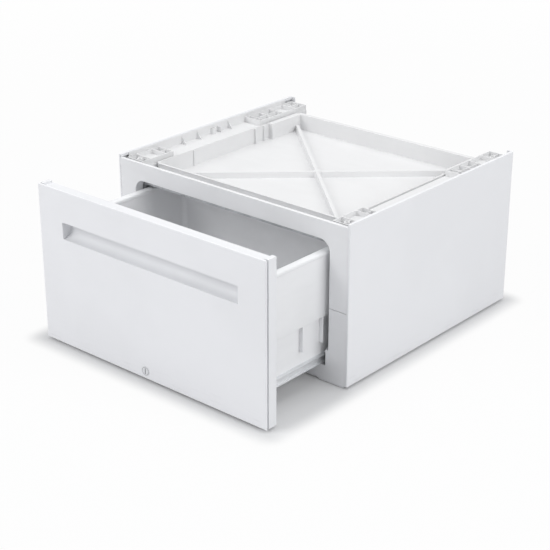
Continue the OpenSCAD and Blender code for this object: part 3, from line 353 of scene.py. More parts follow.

# %% [markdown]
# ## Moulded plastic
# The front frame, the deck and the tub are injection moulded. The mould is spark eroded, which
# leaves an even grain of about a third of a millimetre; long flow lines run across it and the
# edges come out a touch smoother. A polished patch where hands and laundry pass would be too much
# on a new object, so handling shows only as a few fine scratches in the gloss. The lock is moulded
# too; its coin slot and the ring round its plug lie half a millimetre deep, and painted shade darkens
# them.


# %% Plastics
PLASTIC_IOR = 1.48
PIT_FROM, PIT_FULL = 0.0002, 0.0004    # depth behind a front at which the painted shade in pits sets in
PIT_FADE, PIT_END = 0.0026, 0.0034     # and where it ends
PIT_SHADE_SHARE, PIT_SHADE_DARK = 0.85, 0.3      # how strongly the painted pit shade shows, and the light it keeps
PALE_CLOUD, FLOW, HANDLED, SCRATCH = 0.16, 0.03, 0.02, 0.006    # widths of the marks, metres
DULL, FLOWED, PORED, SCRATCHED, PALER = 0.97, 1.025, 0.95, 0.88, 1.06    # light that each mark keeps
FLOW_SHARE, PORE_SHARE, SCRATCH_SHARE, WORN_SHARE = 0.35, 0.3, 0.35, 0.45
DULL_ROUGH, SCRATCH_ROUGH, WORN_SMOOTH = 0.06, 0.15, 0.08
PORE_DEPTH, FLOW_DEPTH = 0.08, 0.00012     # for a grain of 1; metres


def moulded(name, colour, grain, gloss, edge, scratched=0.0, flow=(0.3, 1, 1), front=None):
    """grain: size of the texture in metres; scratched: share of the surface with fine scratches;
    front: the Y of a face behind which pits get painted shade."""
    f = Finish(name)
    cloud = f.noise(PALE_CLOUD, detail=3)
    flows = f.noise(FLOW, flow, 3)
    pores = f.noise(grain, detail=2, roughness=0.6)
    worn = f.edges(edge) * f.band(f.noise(HANDLED, detail=4), 0.3, 0.6)
    marks = f.band(f.noise(SCRATCH, (0.06, 1, 1), 4, 0.6), 0.62, 0.72) * scratched
    tone = f.blend(f.band(cloud, 0.35, 0.65), shade(colour, DULL), colour)
    tone = f.blend(f.band(flows, 0.35, 0.7) * FLOW_SHARE, tone, shade(colour, FLOWED))
    tone = f.blend(f.band(pores, 0.5, 0.8) * PORE_SHARE, tone, shade(colour, PORED))
    tone = f.blend(marks * SCRATCH_SHARE, tone, shade(colour, SCRATCHED))
    tone = f.blend(worn * WORN_SHARE, tone, shade(colour, PALER))
    # painted shade: the faces just behind the front, in the coin slot and the ring round the plug, are
    # darkened
    if front is not None:
        depth = f.axis("Y") - front
        film_and_pit_shade = f.band(depth, PIT_FROM, PIT_FULL) * f.band(depth, PIT_END, PIT_FADE)
        tone = f.blend(film_and_pit_shade * PIT_SHADE_SHARE, tone, shade(colour, PIT_SHADE_DARK))
    rough = gloss + f.band(cloud, 0.3, 0.7) * DULL_ROUGH + marks * SCRATCH_ROUGH - worn * WORN_SMOOTH
    relief = f.bump(flows, FLOW_DEPTH, f.bump(pores, grain * PORE_DEPTH))
    return f.surface(Base_Color=tone, Roughness=rough, Normal=relief, IOR=PLASTIC_IOR)


plastics = {
    "frame_moulding": moulded("frame_plastic", (0.845, 0.85, 0.867), grain=0.0005, gloss=0.42, edge=0.001),
    "face_plastic": moulded("face_plastic", (0.82, 0.827, 0.848), grain=0.0004, gloss=0.38, edge=0.001,
                            scratched=0.3),
    "deck_plastic": moulded("deck_plastic", (0.785, 0.787, 0.793), grain=0.0006, gloss=0.45, edge=0.0008,
                            scratched=0.15),
    "tub_plastic": moulded("tub_plastic", (0.86, 0.865, 0.878), grain=0.0006, gloss=0.42, edge=0.0012,
                           scratched=0.6, flow=(1, 0.3, 1)),
    "lock_plastic": moulded("lock_plastic", (0.74, 0.747, 0.77), grain=0.0003, gloss=0.3, edge=0.0003,
                            scratched=0.2, front=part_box("lock_body")[0][1]),
}
FINISHES.update(plastics)
print("plastics:", list(plastics))

# %% [markdown]
# ## Metals, rubber and the feet
# Rails and posts are hot dipped: zinc freezes in flat crystals, the spangle, which a cell pattern
# with a random brightness per cell shows well. The slides are cold rolled and plated, so they
# carry fine lines along their length. Screws, balls and cages are small; a few scratches and a
# change of gloss are enough for them. The bumpers are soft rubber and the feet filled plastic:
# both are dull, and dust shows on them first.


# %% Metals
CRYSTAL_DARK, CRYSTAL_PALE, CRYSTAL_DEPTH = 0.82, 1.08, 0.00002
DUST, DUSTY, DUST_SHARE = 0.05, 0.8, 0.5         # width in metres, light it keeps, how strongly it shows
SPANGLE_GLOSS, SPANGLE_METAL = 0.38, 0.85
LINE, LINE_DARK, LINE_PALE, LINE_DEPTH = 0.0008, 0.9, 1.05, 0.00001
FILM, FILMED, FILMED_SHARE = 0.03, 0.84, 0.4
BRIGHT, BRIGHT_SHARE = 1.2, 0.5                  # rubbed edges


def spangled(name, colour, crystal):
    """Zinc from a hot bath; crystal: width of one in metres."""
    f = Finish(name)
    cells = f.node("ShaderNodeTexVoronoi", {}, {"Vector": f.place, "Scale": 1 / crystal}, "Color")
    level = f.node("ShaderNodeSeparateColor", {}, {0: cells}, 0)
    dust = f.noise(DUST, detail=5, roughness=0.7)
    worn = f.edges(0.0007)
    tone = f.blend(level, shade(colour, CRYSTAL_DARK), shade(colour, CRYSTAL_PALE))
    tone = f.blend(f.band(dust, 0.5, 0.75) * DUST_SHARE, tone, shade(colour, DUSTY))
    tone = f.blend(worn * BRIGHT_SHARE, tone, shade(colour, BRIGHT))
    rough = SPANGLE_GLOSS + level * 0.16 + f.band(dust, 0.4, 0.7) * 0.15
    return f.surface(Base_Color=tone, Roughness=rough, Metallic=SPANGLE_METAL,
                     Normal=f.bump(level, CRYSTAL_DEPTH))


def drawn(name, colour, gloss, lines, metallic=0.95):
    """Rolled or turned metal; lines: how the fine lines are stretched along X, Y and Z."""
    f = Finish(name)
    fine = f.noise(LINE, lines, 3, 0.6)
    film_and_pit_shade = f.noise(FILM, detail=4)
    worn = f.edges(0.0004)
    tone = f.blend(f.band(fine, 0.3, 0.7), shade(colour, LINE_DARK), shade(colour, LINE_PALE))
    tone = f.blend(f.band(film_and_pit_shade, 0.45, 0.7) * FILMED_SHARE, tone, shade(colour, FILMED))
    tone = f.blend(worn * BRIGHT_SHARE, tone, shade(colour, BRIGHT))
    rough = gloss + f.band(film_and_pit_shade, 0.35, 0.7) * 0.12 + f.band(fine, 0.3, 0.7) * 0.08
    return f.surface(Base_Color=tone, Roughness=rough, Metallic=metallic,
                     Normal=f.bump(fine, LINE_DEPTH))


metals = {
    "galvanised_steel": spangled("galvanised_steel", (0.60, 0.61, 0.63), crystal=0.011),
    "slide_zinc": drawn("slide_zinc", (0.82, 0.83, 0.845), gloss=0.34, lines=(1, 0.02, 1), metallic=0.85),
    "cage_steel": drawn("cage_steel", (0.62, 0.58, 0.46), gloss=0.32, lines=(1, 0.05, 1)),
    "ball_steel": drawn("ball_steel", (0.74, 0.75, 0.77), gloss=0.1, lines=(1, 1, 1), metallic=1.0),
    "fastener_zinc": drawn("fastener_zinc", (0.63, 0.65, 0.69), gloss=0.28, lines=(1, 1, 1)),
}
FINISHES.update(metals)
print("metals:", list(metals))

# %% Rubber and feet
LINT, LINTED, LINT_SHARE, LINT_ROUGH = 0.008, 1.35, 0.6, 0.15    # dust on dull plastic
GREYED, GREYED_SHARE, DULL_PORES = 1.6, 0.5, 0.1                 # rubbed edges; depth for a grain of 1


def pressed(name, colour, gloss, grain):
    """Soft or filled plastic without a gloss: bumpers and feet."""
    f = Finish(name)
    pores = f.noise(grain, detail=3, roughness=0.7)
    lint = f.noise(LINT, detail=4)
    worn = f.edges(0.0005)
    tone = f.blend(f.band(lint, 0.4, 0.7) * LINT_SHARE, colour, shade(colour, LINTED))
    tone = f.blend(worn * GREYED_SHARE, tone, shade(colour, GREYED))
    return f.surface(Base_Color=tone, Roughness=gloss + f.band(lint, 0.3, 0.7) * LINT_ROUGH,
                     Normal=f.bump(pores, grain * DULL_PORES))


FINISHES["bumper_rubber"] = pressed("bumper_rubber", (0.5, 0.5, 0.51), gloss=0.7, grain=0.0005)
FINISHES["foot_plastic"] = pressed("foot_plastic", (0.07, 0.07, 0.075), gloss=0.5, grain=0.0006)
print("finishes so far:", len(FINISHES))

# %% Finishes by slot
BODIES = frame["record"]["behaviour"]["bodies"]
BODY_OF = {node: body for body, nodes in BODIES.items() for node in nodes}
SLOT_OF = {entry["node"]: entry["material_slot"] for entry in frame["record"]["subparts"]}
for name, node in NODES.items():
    node.data.materials.clear()
    node.data.materials.append(FINISHES[SLOT_OF[name]])
print("finishes on", len(NODES), "nodes")

# %% [markdown]
# ## Softened edges
# A folded sheet or a moulding has no knife edges: a radius of half a millimetre catches a thin
# line of light. The construction mesh is copied, its doubled corners are merged and its flat
# faces are joined, and a bevel rounds the edges that turn by more than 50 degrees. A large flat
# face with many notches can't be cut into triangles by the renderer without some of them running
# over its outline, so such a face is cut here, inside its outline. Weighted normals keep the large
# faces flat beside the small round ones.


# %% A piece that stands for nodes
def adopt(piece, nodes, material):
    """Let a finished piece stand for construction nodes of one body."""
    piece.data.materials.clear()
    piece.data.materials.append(material)
    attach(piece, BODY_OF[nodes[0]])
    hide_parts(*nodes)


def settled(piece):
    """Apply what a piece's modifiers make, and drop the modifiers."""
    view = bpy.context.evaluated_depsgraph_get()
    view.update()
    made = bpy.data.meshes.new_from_object(piece.evaluated_get(view))
    piece.modifiers.clear()
    piece.data = made
    return piece


print("adopt and settled ready")

# %% Cutting faces inside their outline
IN_MM = 1000                           # a face is laid flat in millimetres, which the cut likes better
INSIDE, EXACT = 1, 1e-9                # triangles inside the outline; smallest gap that counts
OVERRUN, TINY_AREA = 1.0005, 1e-10     # how much more than a face its triangles may cover
WELD, SLIVER = 3e-6, 4                 # corners this close are one; corners of a gap that is closed


def split_faces(mesh):
    """Cut the faces that plain triangles would overrun into triangles inside their outline."""
    mesh.calc_loop_triangles()
    covered = [0.0] * len(mesh.polygons)
    for triangle in mesh.loop_triangles:
        covered[triangle.polygon_index] += triangle.area
    overrun = [polygon.index for polygon in mesh.polygons
               if covered[polygon.index] > polygon.area * OVERRUN + TINY_AREA]
    shape = bmesh.new()
    shape.from_mesh(mesh)
    shape.faces.ensure_lookup_table()
    wide = [shape.faces[index] for index in overrun]
    for face in wide:
        corners = list(face.verts)
        upright = face.normal.to_track_quat("Z", "Y").to_matrix().transposed()
        laid = [upright @ corner.co * IN_MM for corner in corners]
        points, _, triangles, origin, _, _ = delaunay_2d_cdt(
            [point.to_2d() for point in laid], [], [list(range(len(laid)))], INSIDE, EXACT)
        shape.faces.remove(face)
        ends = [corners[source[0]] if source else
                shape.verts.new(upright.transposed() @ Vector((*point, laid[0].z)) / IN_MM)
                for point, source in zip(points, origin)]
        for triangle in triangles:
            trio = [ends[index] for index in triangle]
            if not shape.faces.get(trio):
                shape.faces.new(trio).smooth = True
    bmesh.ops.remove_doubles(shape, verts=shape.verts, dist=WELD)
    bmesh.ops.dissolve_degenerate(shape, edges=shape.edges, dist=WELD)
    rims = [edge for edge in shape.edges if len(edge.link_faces) == 1]
    bmesh.ops.holes_fill(shape, edges=rims, sides=SLIVER)
    shape.to_mesh(mesh)
    shape.free()
    return len(wide)


print("faces are cut where triangles overrun them by", OVERRUN)

# %% Softening a node
BEVEL_TURN, FACE_TURN, SMOOTH_TURN = math.radians(50), math.radians(0.5), math.radians(32)
BEVEL_STEPS = 2
SAME_PLACE = 1e-6                      # corners of a construction mesh this close are one


def merged(node_name):
    """A construction node's mesh, open for work, with its doubled corners merged."""
    shape = bmesh.new()
    shape.from_mesh(NODES[node_name].data)
    bmesh.ops.remove_doubles(shape, verts=shape.verts, dist=SAME_PLACE)
    return shape


def softened(node_name, radius):
    """A copy of a node with its sharp edges rounded, which stands for the node."""
    shape = merged(node_name)
    bmesh.ops.dissolve_limit(shape, angle_limit=FACE_TURN, verts=shape.verts, edges=shape.edges)
    weights = shape.edges.layers.float.new("bevel_weight_edge")
    sharp = 0
    for edge in shape.edges:
        if len(edge.link_faces) == 2 and edge.calc_face_angle() > BEVEL_TURN:
            edge[weights] = 1.0
            sharp += 1
    mesh = bpy.data.meshes.new(node_name + "_soft")
    shape.to_mesh(mesh)
    shape.free()
    piece = added(node_name + "_soft", mesh)
    mesh.shade_smooth()
    mesh.set_sharp_from_angle(angle=SMOOTH_TURN)
    bevel = piece.modifiers.new("round", "BEVEL")
    bevel.limit_method = "WEIGHT"
    bevel.width = radius
    bevel.segments = BEVEL_STEPS
    bevel.use_clamp_overlap = False
    bevel.miter_outer = "MITER_ARC"
    settled(piece)
    split = split_faces(piece.data)
    flat = piece.modifiers.new("flat", "WEIGHTED_NORMAL")
    flat.keep_sharp = True
    settled(piece)
    adopt(piece, [node_name], FINISHES[SLOT_OF[node_name]])
    print(node_name, "softened,", sharp, "edges,", split, "faces cut,", len(piece.data.polygons), "faces")


# %% Softened pieces
SOFT_MM = {
    "drawer_skin": 0.4, "drawer_liner": 0.6, "end_cap_left": 1.0, "end_cap_right": 1.0,
    "handle_pocket": 0.6, "front_frame": 0.8, "plinth_moulding": 0.8, "side_panel_left": 0.4,
    "side_panel_right": 0.4, "deck_tray": 0.7, "side_shelf_left": 0.5, "side_shelf_right": 0.5,
    "foot_seat_front_left": 0.35, "foot_seat_front_right": 0.35, "foot_seat_rear_left": 0.35,
    "foot_seat_rear_right": 0.35, "slide_inner_left": 0.3, "slide_inner_right": 0.3,
    "slide_outer_left": 0.3, "slide_outer_right": 0.3, "lock_body": 0.2, "lock_rotor": 0.2,
}
for name, radius in SOFT_MM.items():
    softened(name, radius * MM)

# %% [markdown]
# ## Recipes for pieces that repeat
# Screws, rivets, nuts, balls and ribs are one shape many times over, and the tub is one section
# led round a path. Geometry Nodes says exactly that: a recipe takes sizes, a section or a list of
# places as named inputs and grows the piece. `Recipe` builds such a tree; `grow` runs it once and
# keeps the plain mesh. The places come from the construction model, so nothing drifts.


# %% Recipes
class Recipe(Graph):
    """A Geometry Nodes tree with named inputs that ends in one mesh with a material."""

    SOCKETS = ((bpy.types.Object, "NodeSocketObject"), (bpy.types.Material, "NodeSocketMaterial"),
               (int, "NodeSocketInt"), (float, "NodeSocketFloat"))

    def __init__(self, name, **inputs):
        super().__init__(bpy.data.node_groups.new(name, "GeometryNodeTree"))
        face = self.tree.interface
        face.new_socket("Geometry", in_out="OUTPUT", socket_type="NodeSocketGeometry")
        self.values = {}
        for label, value in inputs.items():
            kind = next(socket for made_of, socket in self.SOCKETS if isinstance(value, made_of))
            identifier = face.new_socket(label, in_out="INPUT", socket_type=kind).identifier
            self.values[identifier] = value
        self.group = self.tree.nodes.new("NodeGroupInput")

    def given(self, label):
        return Value(self, self.group.outputs[label])

    def shape(self, label):
        return self.node("GeometryNodeObjectInfo", {}, {"Object": self.given(label)}, "Geometry")

    def join(self, *parts):
        joined = self.tree.nodes.new("GeometryNodeJoinGeometry")
        for part in parts:
            self.tree.links.new(part.socket, joined.inputs[0])
        return Value(self, joined.outputs[0])

    def sweep(self, width, length, corner, steps, section):
        """Lead a section round a rectangle with round corners."""
        path = self.node("GeometryNodeCurvePrimitiveQuadrilateral", {},
                         {"Width": width, "Height": length})
        path = self.node("GeometryNodeFilletCurve", {"mode": "POLY"},
                         {"Curve": path, "Radius": corner, "Count": steps})
        path = self.node("GeometryNodeSetCurveNormal", {"mode": "Z_UP"}, {"Curve": path})
        return self.node("GeometryNodeCurveToMesh", {}, {"Curve": path, "Profile Curve": section})

    def scatter(self, places, piece):
        """Set a piece on every place, turned and sized by the place's attributes."""
        turn, size = (self.node("GeometryNodeInputNamedAttribute", {"data_type": "FLOAT_VECTOR"},
                                {"Name": label}, "Attribute") for label in ("turn", "size"))
        turn = self.node("FunctionNodeEulerToRotation", {}, {0: turn})
        return self.node("GeometryNodeInstanceOnPoints", {}, {
            "Points": places, "Instance": piece, "Rotation": turn, "Scale": size})

    def grow(self, name, geometry):
        """Give the geometry the recipe's Material and run the tree into a plain mesh."""
        real = self.node("GeometryNodeRealizeInstances", {}, {"Geometry": geometry})
        coated = self.node("GeometryNodeSetMaterial", {},
                           {"Geometry": real, "Material": self.given("Material")})
        self.end("NodeGroupOutput", coated)
        piece = added(name, bpy.data.meshes.new(name))
        recipe = piece.modifiers.new("recipe", "NODES")
        recipe.node_group = self.tree
        for identifier, value in self.values.items():
            recipe[identifier] = value
        settled(piece)
        piece.data.shade_smooth()
        piece.data.set_sharp_from_angle(angle=SMOOTH_TURN)
        return piece


print("recipes end in realised instances and a material")


# %% Units and places
def forget(*helpers):
    """Remove objects that only served a recipe."""
    for made in helpers:
        bpy.data.objects.remove(made)


def places(name, rows):
    """Loose points; each row is a place, a turn and a size."""
    mesh = bpy.data.meshes.new(name)
    mesh.from_pydata([row[0] for row in rows], [], [])
    for index, label in ((1, "turn"), (2, "size")):
        layer = mesh.attributes.new(label, "FLOAT_VECTOR", "POINT")
        layer.data.foreach_set("vector", [value for row in rows for value in row[index]])
    return added(name, mesh)


def islands(node_name):
    """Low and high corner of each separate solid in a construction node."""
    shape = merged(node_name)
    left, found = set(shape.verts), []
    while left:
        front, corners = [left.pop()], []
        while front:
            vert = front.pop()
            corners.append(vert.co.copy())
            for edge in vert.link_edges:
                other = edge.other_vert(vert)
                if other in left:
                    left.remove(other)
                    front.append(other)
        found.append((Vector([min(c[i] for c in corners) for i in range(3)]),
                      Vector([max(c[i] for c in corners) for i in range(3)])))
    shape.free()
    return sorted(found, key=lambda box: [round(c, 5) for c in box[0]])


def lathe(name, profile, steps=24, closed=False, flat=None):
    """Turn (radius, height) points round Z; flat is half a hexagon's width across its flats."""
    shape = bmesh.new()
    rings = []
    for radius, height in profile:
        ring = []
        for step in range(steps if radius else 1):
            angle = math.tau * step / steps
            reach = radius
            if flat:
                reach = min(radius, flat / math.cos(angle % (math.pi / 3) - math.pi / 6))
            ring.append(shape.verts.new((reach * math.cos(angle), reach * math.sin(angle), height)))
        rings.append(ring)
    for lower, upper in zip(rings, rings[1:] + (rings[:1] if closed else [])):
        for step in range(steps):
            corners = [lower[step % len(lower)], lower[(step + 1) % len(lower)],
                       upper[(step + 1) % len(upper)], upper[step % len(upper)]]
            shape.faces.new(list(dict.fromkeys(corners)))
    bmesh.ops.recalc_face_normals(shape, faces=shape.faces)
    mesh = bpy.data.meshes.new(name)
    shape.to_mesh(mesh)
    shape.free()
    return added(name, mesh)


def arc(centre_u, centre_v, radius, start, stop, steps=6):
    """Points on an arc, angles in degrees."""
    angles = [math.radians(start + (stop - start) * i / steps) for i in range(steps + 1)]
    return [(centre_u + radius * math.cos(a), centre_v + radius * math.sin(a)) for a in angles]


print("units and places ready")

# %% [markdown]
# ## Screws, rivets and nuts
# Pan-head screws hold the panels, the mouldings and the drawer face. A real head is a low dome
# with a cross recess punched in; the shank carries a thread. The head is turned on a lathe and
# the cross is cut out of it, the shank is turned with a ridge per turn of the thread. The rivets
# have a low domed head outside the rail, and the weld nuts a chamfered hexagon. Each kind is
# made once in unit size and set on every place that the construction model has one.

# %% Units of a screw
HEAD_RISE = 0.32                       # a head's height for a width of 1
HEAD_PROFILE = [(0, 0), (0.46, 0), (0.5, 0.03), (0.5, 0.12), (0.485, 0.17), (0.44, 0.22), (0.36, 0.27),
                (0.25, 0.3), (0.12, 0.315), (0, HEAD_RISE)]
CROSS_ARM, CROSS_WIDTH, CROSS_DEEP, CUT_CLEAR = 0.3, 0.055, 0.19, 0.1
TIP_X, TIP_Y = 0.5, 0.6                # what is left of the cross's width at its bottom
THREAD_TURNS, THREAD_FROM, THREAD_LONG = 12, 0.06, 0.86    # for a shank of length 1
THREAD_CREST, THREAD_CORE = 0.5, 0.4                       # radii for a shank of width 1
SHANK_TIP = [(THREAD_CORE, -0.93), (0.12, -1), (0, -1)]
TO_REAR = (-math.pi / 2, 0, 0)         # turns +Z to +Y, the way all heads face
UNTURNED, ONE = (0, 0, 0), (1, 1, 1)
SHANK_OF_HEAD = {7: 3.4, 8: 4.0, 9: 4.0}    # shank under a head of a given width, mm


def box_mesh(name, corners_low_high):
    """Boxes that taper to their low end: (half x, half y) below and above, and two heights."""
    shape = bmesh.new()
    for (low_x, low_y), (high_x, high_y), low, high in corners_low_high:
        rings = [[shape.verts.new((sx * x, sy * y, z)) for sx, sy in SQUARE]
                 for x, y, z in ((low_x, low_y, low), (high_x, high_y, high))]
        shape.faces.new(rings[0][::-1])
        shape.faces.new(rings[1])
        for k in range(4):
            shape.faces.new((rings[0][k], rings[0][(k + 1) % 4], rings[1][(k + 1) % 4], rings[1][k]))
    mesh = bpy.data.meshes.new(name)
    shape.to_mesh(mesh)
    shape.free()
    return added(name, mesh)


def screw_head():
    """A head of width 1 that stands on Z = 0, with its cross recess."""
    head = lathe("screw_head", HEAD_PROFILE, steps=32)
    for index, (x, y) in enumerate(((CROSS_ARM, CROSS_WIDTH), (CROSS_WIDTH, CROSS_ARM))):
        cutter = box_mesh("cross", [((x * TIP_X, y * TIP_Y), (x, y), HEAD_RISE - CROSS_DEEP,
                                     HEAD_RISE + CUT_CLEAR)])
        cut = head.modifiers.new("cross" + str(index), "BOOLEAN")
        cut.operation, cut.solver, cut.object = "DIFFERENCE", "EXACT", cutter
        settled(head)
        forget(cutter)
    return head


def screw_shank():
    """A threaded shank of width 1 and length 1 that hangs from Z = 0."""
    profile = [(0, 0), (THREAD_CREST, 0)]
    for turn in range(THREAD_TURNS):
        top = -THREAD_FROM - turn * THREAD_LONG / THREAD_TURNS
        profile += [(THREAD_CORE, top), (THREAD_CREST, top - THREAD_LONG / 2 / THREAD_TURNS)]
    return lathe("screw_shank", profile + SHANK_TIP, steps=16)


print("screws have", THREAD_TURNS, "thread ridges")


# %% Screws
def seat_screws(node_name):
    """Screws along Y, heads to the rear, as in the construction node."""
    heads, shanks = [], []
    for low, high in islands(node_name):
        middle_x, middle_z = (low.x + high.x) / 2, (low.z + high.z) / 2
        width = high.x - low.x
        under_head = high.y - width * HEAD_RISE
        bore = SHANK_OF_HEAD[round(width / MM)] * MM
        heads.append(((middle_x, under_head, middle_z), TO_REAR, (width, width, width)))
        shanks.append(((middle_x, under_head, middle_z), TO_REAR, (bore, bore, under_head - low.y)))
    parts = {"Heads": places("heads", heads), "Shanks": places("shanks", shanks),
             "Head": screw_head(), "Shank": screw_shank()}
    recipe = Recipe(node_name, Material=FINISHES["fastener_zinc"], **parts)
    both = recipe.join(recipe.scatter(recipe.shape("Heads"), recipe.shape("Head")),
                       recipe.scatter(recipe.shape("Shanks"), recipe.shape("Shank")))
    piece = recipe.grow(node_name + "_turned", both)
    forget(*parts.values())
    adopt(piece, [node_name], FINISHES["fastener_zinc"])
    print(node_name, len(heads), "screws,", len(piece.data.polygons), "faces")


seat_screws("cabinet_screws")
seat_screws("drawer_screws")

# %% Rivets and nuts
RIVET_SHANK, RIVET_HEAD = 2.1 * MM, 1.6 * MM
RIVET_TIP, RIVET_TIP_LONG = 0.8, 0.3 * MM                 # the shank's end: share of its radius, length
RIVET_EDGE, RIVET_EDGE_HIGH = 0.2 * MM, 0.25 * MM         # the head's lower edge: inset, height
RIVET_DOME = [(0.9, 0.7), (0.6, 0.2), (0.25, 0), (0, 0)]  # share of the head's radius; mm below its top
NUT_BORE, NUT_BEVEL, NUT_FACE = 5 * MM, 0.9 * MM, 0.93    # the last: a flat end's share of the radius


def repeat(node_name, unit, rows, material):
    """Set one unit on all rows and let the result stand for a construction node."""
    spots = places(node_name + "_places", rows)
    recipe = Recipe(node_name, Places=spots, Unit=unit, Material=material)
    piece = recipe.grow(node_name + "_set", recipe.scatter(recipe.shape("Places"), recipe.shape("Unit")))
    forget(spots, unit)
    adopt(piece, [node_name], material)
    print(node_name, len(rows), "times,", len(piece.data.polygons), "faces")


low, high = islands("slide_rivets")[0]
rivet_r, rivet_long = (high.z - low.z) / 2, high.x - low.x
under_head = rivet_long - RIVET_HEAD
profile = [(0, 0), (RIVET_SHANK * RIVET_TIP, 0), (RIVET_SHANK, RIVET_TIP_LONG), (RIVET_SHANK, under_head),
           (rivet_r - RIVET_EDGE, under_head), (rivet_r, under_head + RIVET_EDGE_HIGH)]
profile += [(rivet_r * share, rivet_long - drop * MM) for share, drop in RIVET_DOME]
rivet = lathe("rivet", profile)
rivet_rows = []
for low, high in islands("slide_rivets"):
    side = 1 if low.x > 0 else -1
    rivet_rows.append(((low.x if side > 0 else high.x, (low.y + high.y) / 2, (low.z + high.z) / 2),
                       (0, side * math.pi / 2, 0), ONE))
repeat("slide_rivets", rivet, rivet_rows, FINISHES["fastener_zinc"])

low, high = islands("foot_nuts")[0]
nut_r, nut_high, half_bevel = (high.x - low.x) / 2, high.z - low.z, NUT_BEVEL / 2
nut_face = nut_r * NUT_FACE
nut = lathe("nut", [(NUT_BORE, half_bevel), (NUT_BORE + half_bevel, 0), (nut_face, 0), (nut_r, NUT_BEVEL),
                    (nut_r, nut_high - NUT_BEVEL), (nut_face, nut_high),
                    (NUT_BORE + half_bevel, nut_high), (NUT_BORE, nut_high - half_bevel)],
            steps=48, closed=True, flat=nut_r * math.cos(math.pi / 6))
repeat("foot_nuts", nut, [(((low.x + high.x) / 2, (low.y + high.y) / 2, low.z), UNTURNED, ONE)
                          for low, high in islands("foot_nuts")], FINISHES["fastener_zinc"])

# %% [markdown]
# ## Bearing balls
# Each slide runs on two rows of polished balls that a thin cage keeps apart. A ball is the same
# seen from any side, so one sphere on every place is all it takes.

# %% Balls
BALL_RINGS = 14
for side in ("left", "right"):
    name = "slide_balls_" + side
    rows = [(tuple((low + high) / 2), UNTURNED, ONE) for low, high in islands(name)]
    spots = places(name + "_places", rows)
    low, high = islands(name)[0]
    recipe = Recipe(name, Places=spots, Radius=float(high.z - low.z) / 2, Rings=BALL_RINGS,
                    Material=FINISHES["ball_steel"])
    ball = recipe.node("GeometryNodeMeshUVSphere", {}, {
        "Segments": recipe.given("Rings") * 2, "Rings": recipe.given("Rings"),
        "Radius": recipe.given("Radius")})
    piece = recipe.grow(name + "_set", recipe.scatter(recipe.shape("Places"), ball))
    forget(spots)
    adopt(piece, [name], FINISHES["ball_steel"])
    print(name, len(rows), "balls,", len(piece.data.polygons), "faces")

# %% [markdown]
# ## The tub
# The tub is one injection moulding: a basin, a rim rolled over outwards, and a skirt that hangs
# from the rim. Its section is the same all the way round, so the section is drawn once, with the
# fillets that a mould needs, and led round a rectangle with round corners. The basin's floor
# closes the inner end of the section. Ribs and screw bosses are set on their places afterwards.
# Cutting it from a block with booleans would give the same tub without the soft fillets.

# %% The tub's section
low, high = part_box("drawer_tub")
TUB_CORNER, TUB_CORNER_STEPS = 28 * MM, 14
TUB_WALL = 3.0                         # the section is in millimetres: u inwards from the rim, z up
TUB_RIM, TUB_RIM_HIGH, RIM_ROUND = 18.0, 10.0, 3.6
SKIRT_U, BASIN_U = 2.0, 12.2
SKIRT_LOW, FLOOR_FILLET, EDGE_ROUND = 156.0, 7.0, 0.7
RIB_LOW, RIB_HIGH, RIB_THICK, RIB_ROUND = 95.0, 157.0, 3.0, 0.6
SIDE_RIBS = [149.5 + 66 * i for i in range(4)]       # behind the tub's front edge
REAR_RIBS = [-198.5, -98.5, 1.5, 101.5, 201.5]
BOSS_R, BOSS_BORE, BOSS_EDGE = 5.5, 2.2, 0.6
BOSS_X, BOSS_Z = (-170, -34, 34, 170), (80, 230)
SINK = 0.5                             # ribs and bosses reach this far into the wall
tub_top, tub_low = high[2] / MM, low[2] / MM
rim_low, rim_in = tub_top - TUB_RIM_HIGH, TUB_RIM - RIM_ROUND
floor_top, basin_in = tub_low + TUB_WALL, BASIN_U + TUB_WALL
skirt_turn = math.degrees(math.acos((RIM_ROUND - SKIRT_U) / RIM_ROUND))
basin_turn = math.degrees(math.acos((basin_in - rim_in) / RIM_ROUND))
outer_fillet = FLOOR_FILLET + TUB_WALL

section = arc(basin_in + FLOOR_FILLET, floor_top + FLOOR_FILLET, FLOOR_FILLET, 270, 180)
section += arc(rim_in, rim_low + RIM_ROUND, RIM_ROUND, -basin_turn, 0)
section += arc(rim_in, tub_top - RIM_ROUND, RIM_ROUND, 0, 90)
section += arc(RIM_ROUND, tub_top - RIM_ROUND, RIM_ROUND, 90, 180)
section += arc(RIM_ROUND, rim_low + RIM_ROUND, RIM_ROUND, 180, 180 + skirt_turn)
section += arc(SKIRT_U + EDGE_ROUND, SKIRT_LOW + EDGE_ROUND, EDGE_ROUND, 180, 270, 3)
section += arc(SKIRT_U + TUB_WALL - EDGE_ROUND, SKIRT_LOW + EDGE_ROUND, EDGE_ROUND, 270, 360, 3)
section += [(SKIRT_U + TUB_WALL, tub_top - TUB_WALL), (BASIN_U, tub_top - TUB_WALL)]
section += arc(BASIN_U + outer_fillet, tub_low + outer_fillet, outer_fillet, 180, 270)

outline = bpy.data.curves.new("tub_section", "CURVE")
outline.dimensions = "3D"
strip = outline.splines.new("POLY")
strip.points.add(len(section) - 1)
for point, (u, z) in zip(strip.points, section):
    point.co = (-u * MM, -z * MM, 0, 1)     # a section's X points outwards and its Y down
tub_section = added("tub_section", outline)
print("the tub's section has", len(section), "points")

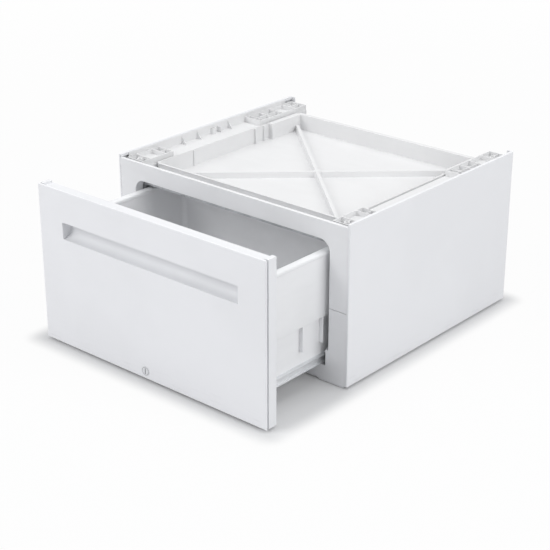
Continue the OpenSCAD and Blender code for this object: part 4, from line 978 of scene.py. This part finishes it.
# %% The tub's ribs and bosses
rib_reach = (BASIN_U - SKIRT_U + SINK) * MM
rib = box_mesh("rib", [((rib_reach / 2, RIB_THICK * MM / 2),) * 2 + (RIB_LOW * MM, RIB_HIGH * MM)])
rounding = rib.modifiers.new("round", "BEVEL")
rounding.width, rounding.segments = RIB_ROUND * MM, 2
settled(rib)
rib_x = high[0] - SKIRT_U * MM - rib_reach / 2
rib_rear = high[1] - SKIRT_U * MM - rib_reach / 2
rib_rows = [((side * rib_x, low[1] + y * MM, 0), UNTURNED, ONE) for side in (-1, 1) for y in SIDE_RIBS]
rib_rows += [((x * MM, rib_rear, 0), (0, 0, math.pi / 2), ONE) for x in REAR_RIBS]
ribs = places("rib_places", rib_rows)
boss_profile = [(BOSS_BORE, 0), (BOSS_R - BOSS_EDGE, 0), (BOSS_R, BOSS_EDGE), (BOSS_R, BASIN_U + SINK),
                (BOSS_BORE, BASIN_U + SINK)]
boss_profile = [(radius * MM, height * MM) for radius, height in boss_profile]
boss = lathe("boss", boss_profile, steps=32, closed=True)
bosses = places("boss_places", [((x * MM, low[1], z * MM), TO_REAR, ONE) for x in BOSS_X for z in BOSS_Z])
print(len(rib_rows), "ribs,", len(BOSS_X) * len(BOSS_Z), "bosses")

# %% The tub in one piece
recipe = Recipe("tub", Width=float(high[0] - low[0]), Length=float(high[1] - low[1]), Corner=TUB_CORNER,
                Steps=TUB_CORNER_STEPS, Section=tub_section, Ribs=ribs, Rib=rib, Bosses=bosses, Boss=boss,
                Material=FINISHES["tub_plastic"])
shell = recipe.sweep(recipe.given("Width"), recipe.given("Length"), recipe.given("Corner"),
                     recipe.given("Steps"), recipe.shape("Section"))
shell = recipe.node("GeometryNodeTransform", {},
                    {"Geometry": shell, "Translation": (0, (low[1] + high[1]) / 2, 0)})
tub = recipe.grow("tub_moulding", recipe.join(
    shell, recipe.scatter(recipe.shape("Ribs"), recipe.shape("Rib")),
    recipe.scatter(recipe.shape("Bosses"), recipe.shape("Boss"))))
forget(tub_section, rib, ribs, boss, bosses)

shape = bmesh.new()
shape.from_mesh(tub.data)
rims = [edge for edge in shape.edges if len(edge.link_faces) == 1]
floors = bmesh.ops.holes_fill(shape, edges=rims, sides=0)["faces"]
bmesh.ops.recalc_face_normals(shape, faces=shape.faces)
shape.to_mesh(tub.data)
shape.free()
tub.data.shade_smooth()
tub.data.set_sharp_from_angle(angle=SMOOTH_TURN)
adopt(tub, ["drawer_tub"], FINISHES["tub_plastic"])
print("tub:", len(floors), "floor faces,", len(tub.data.polygons), "faces, box",
      [round(c, 4) for c in (*low, *high)])
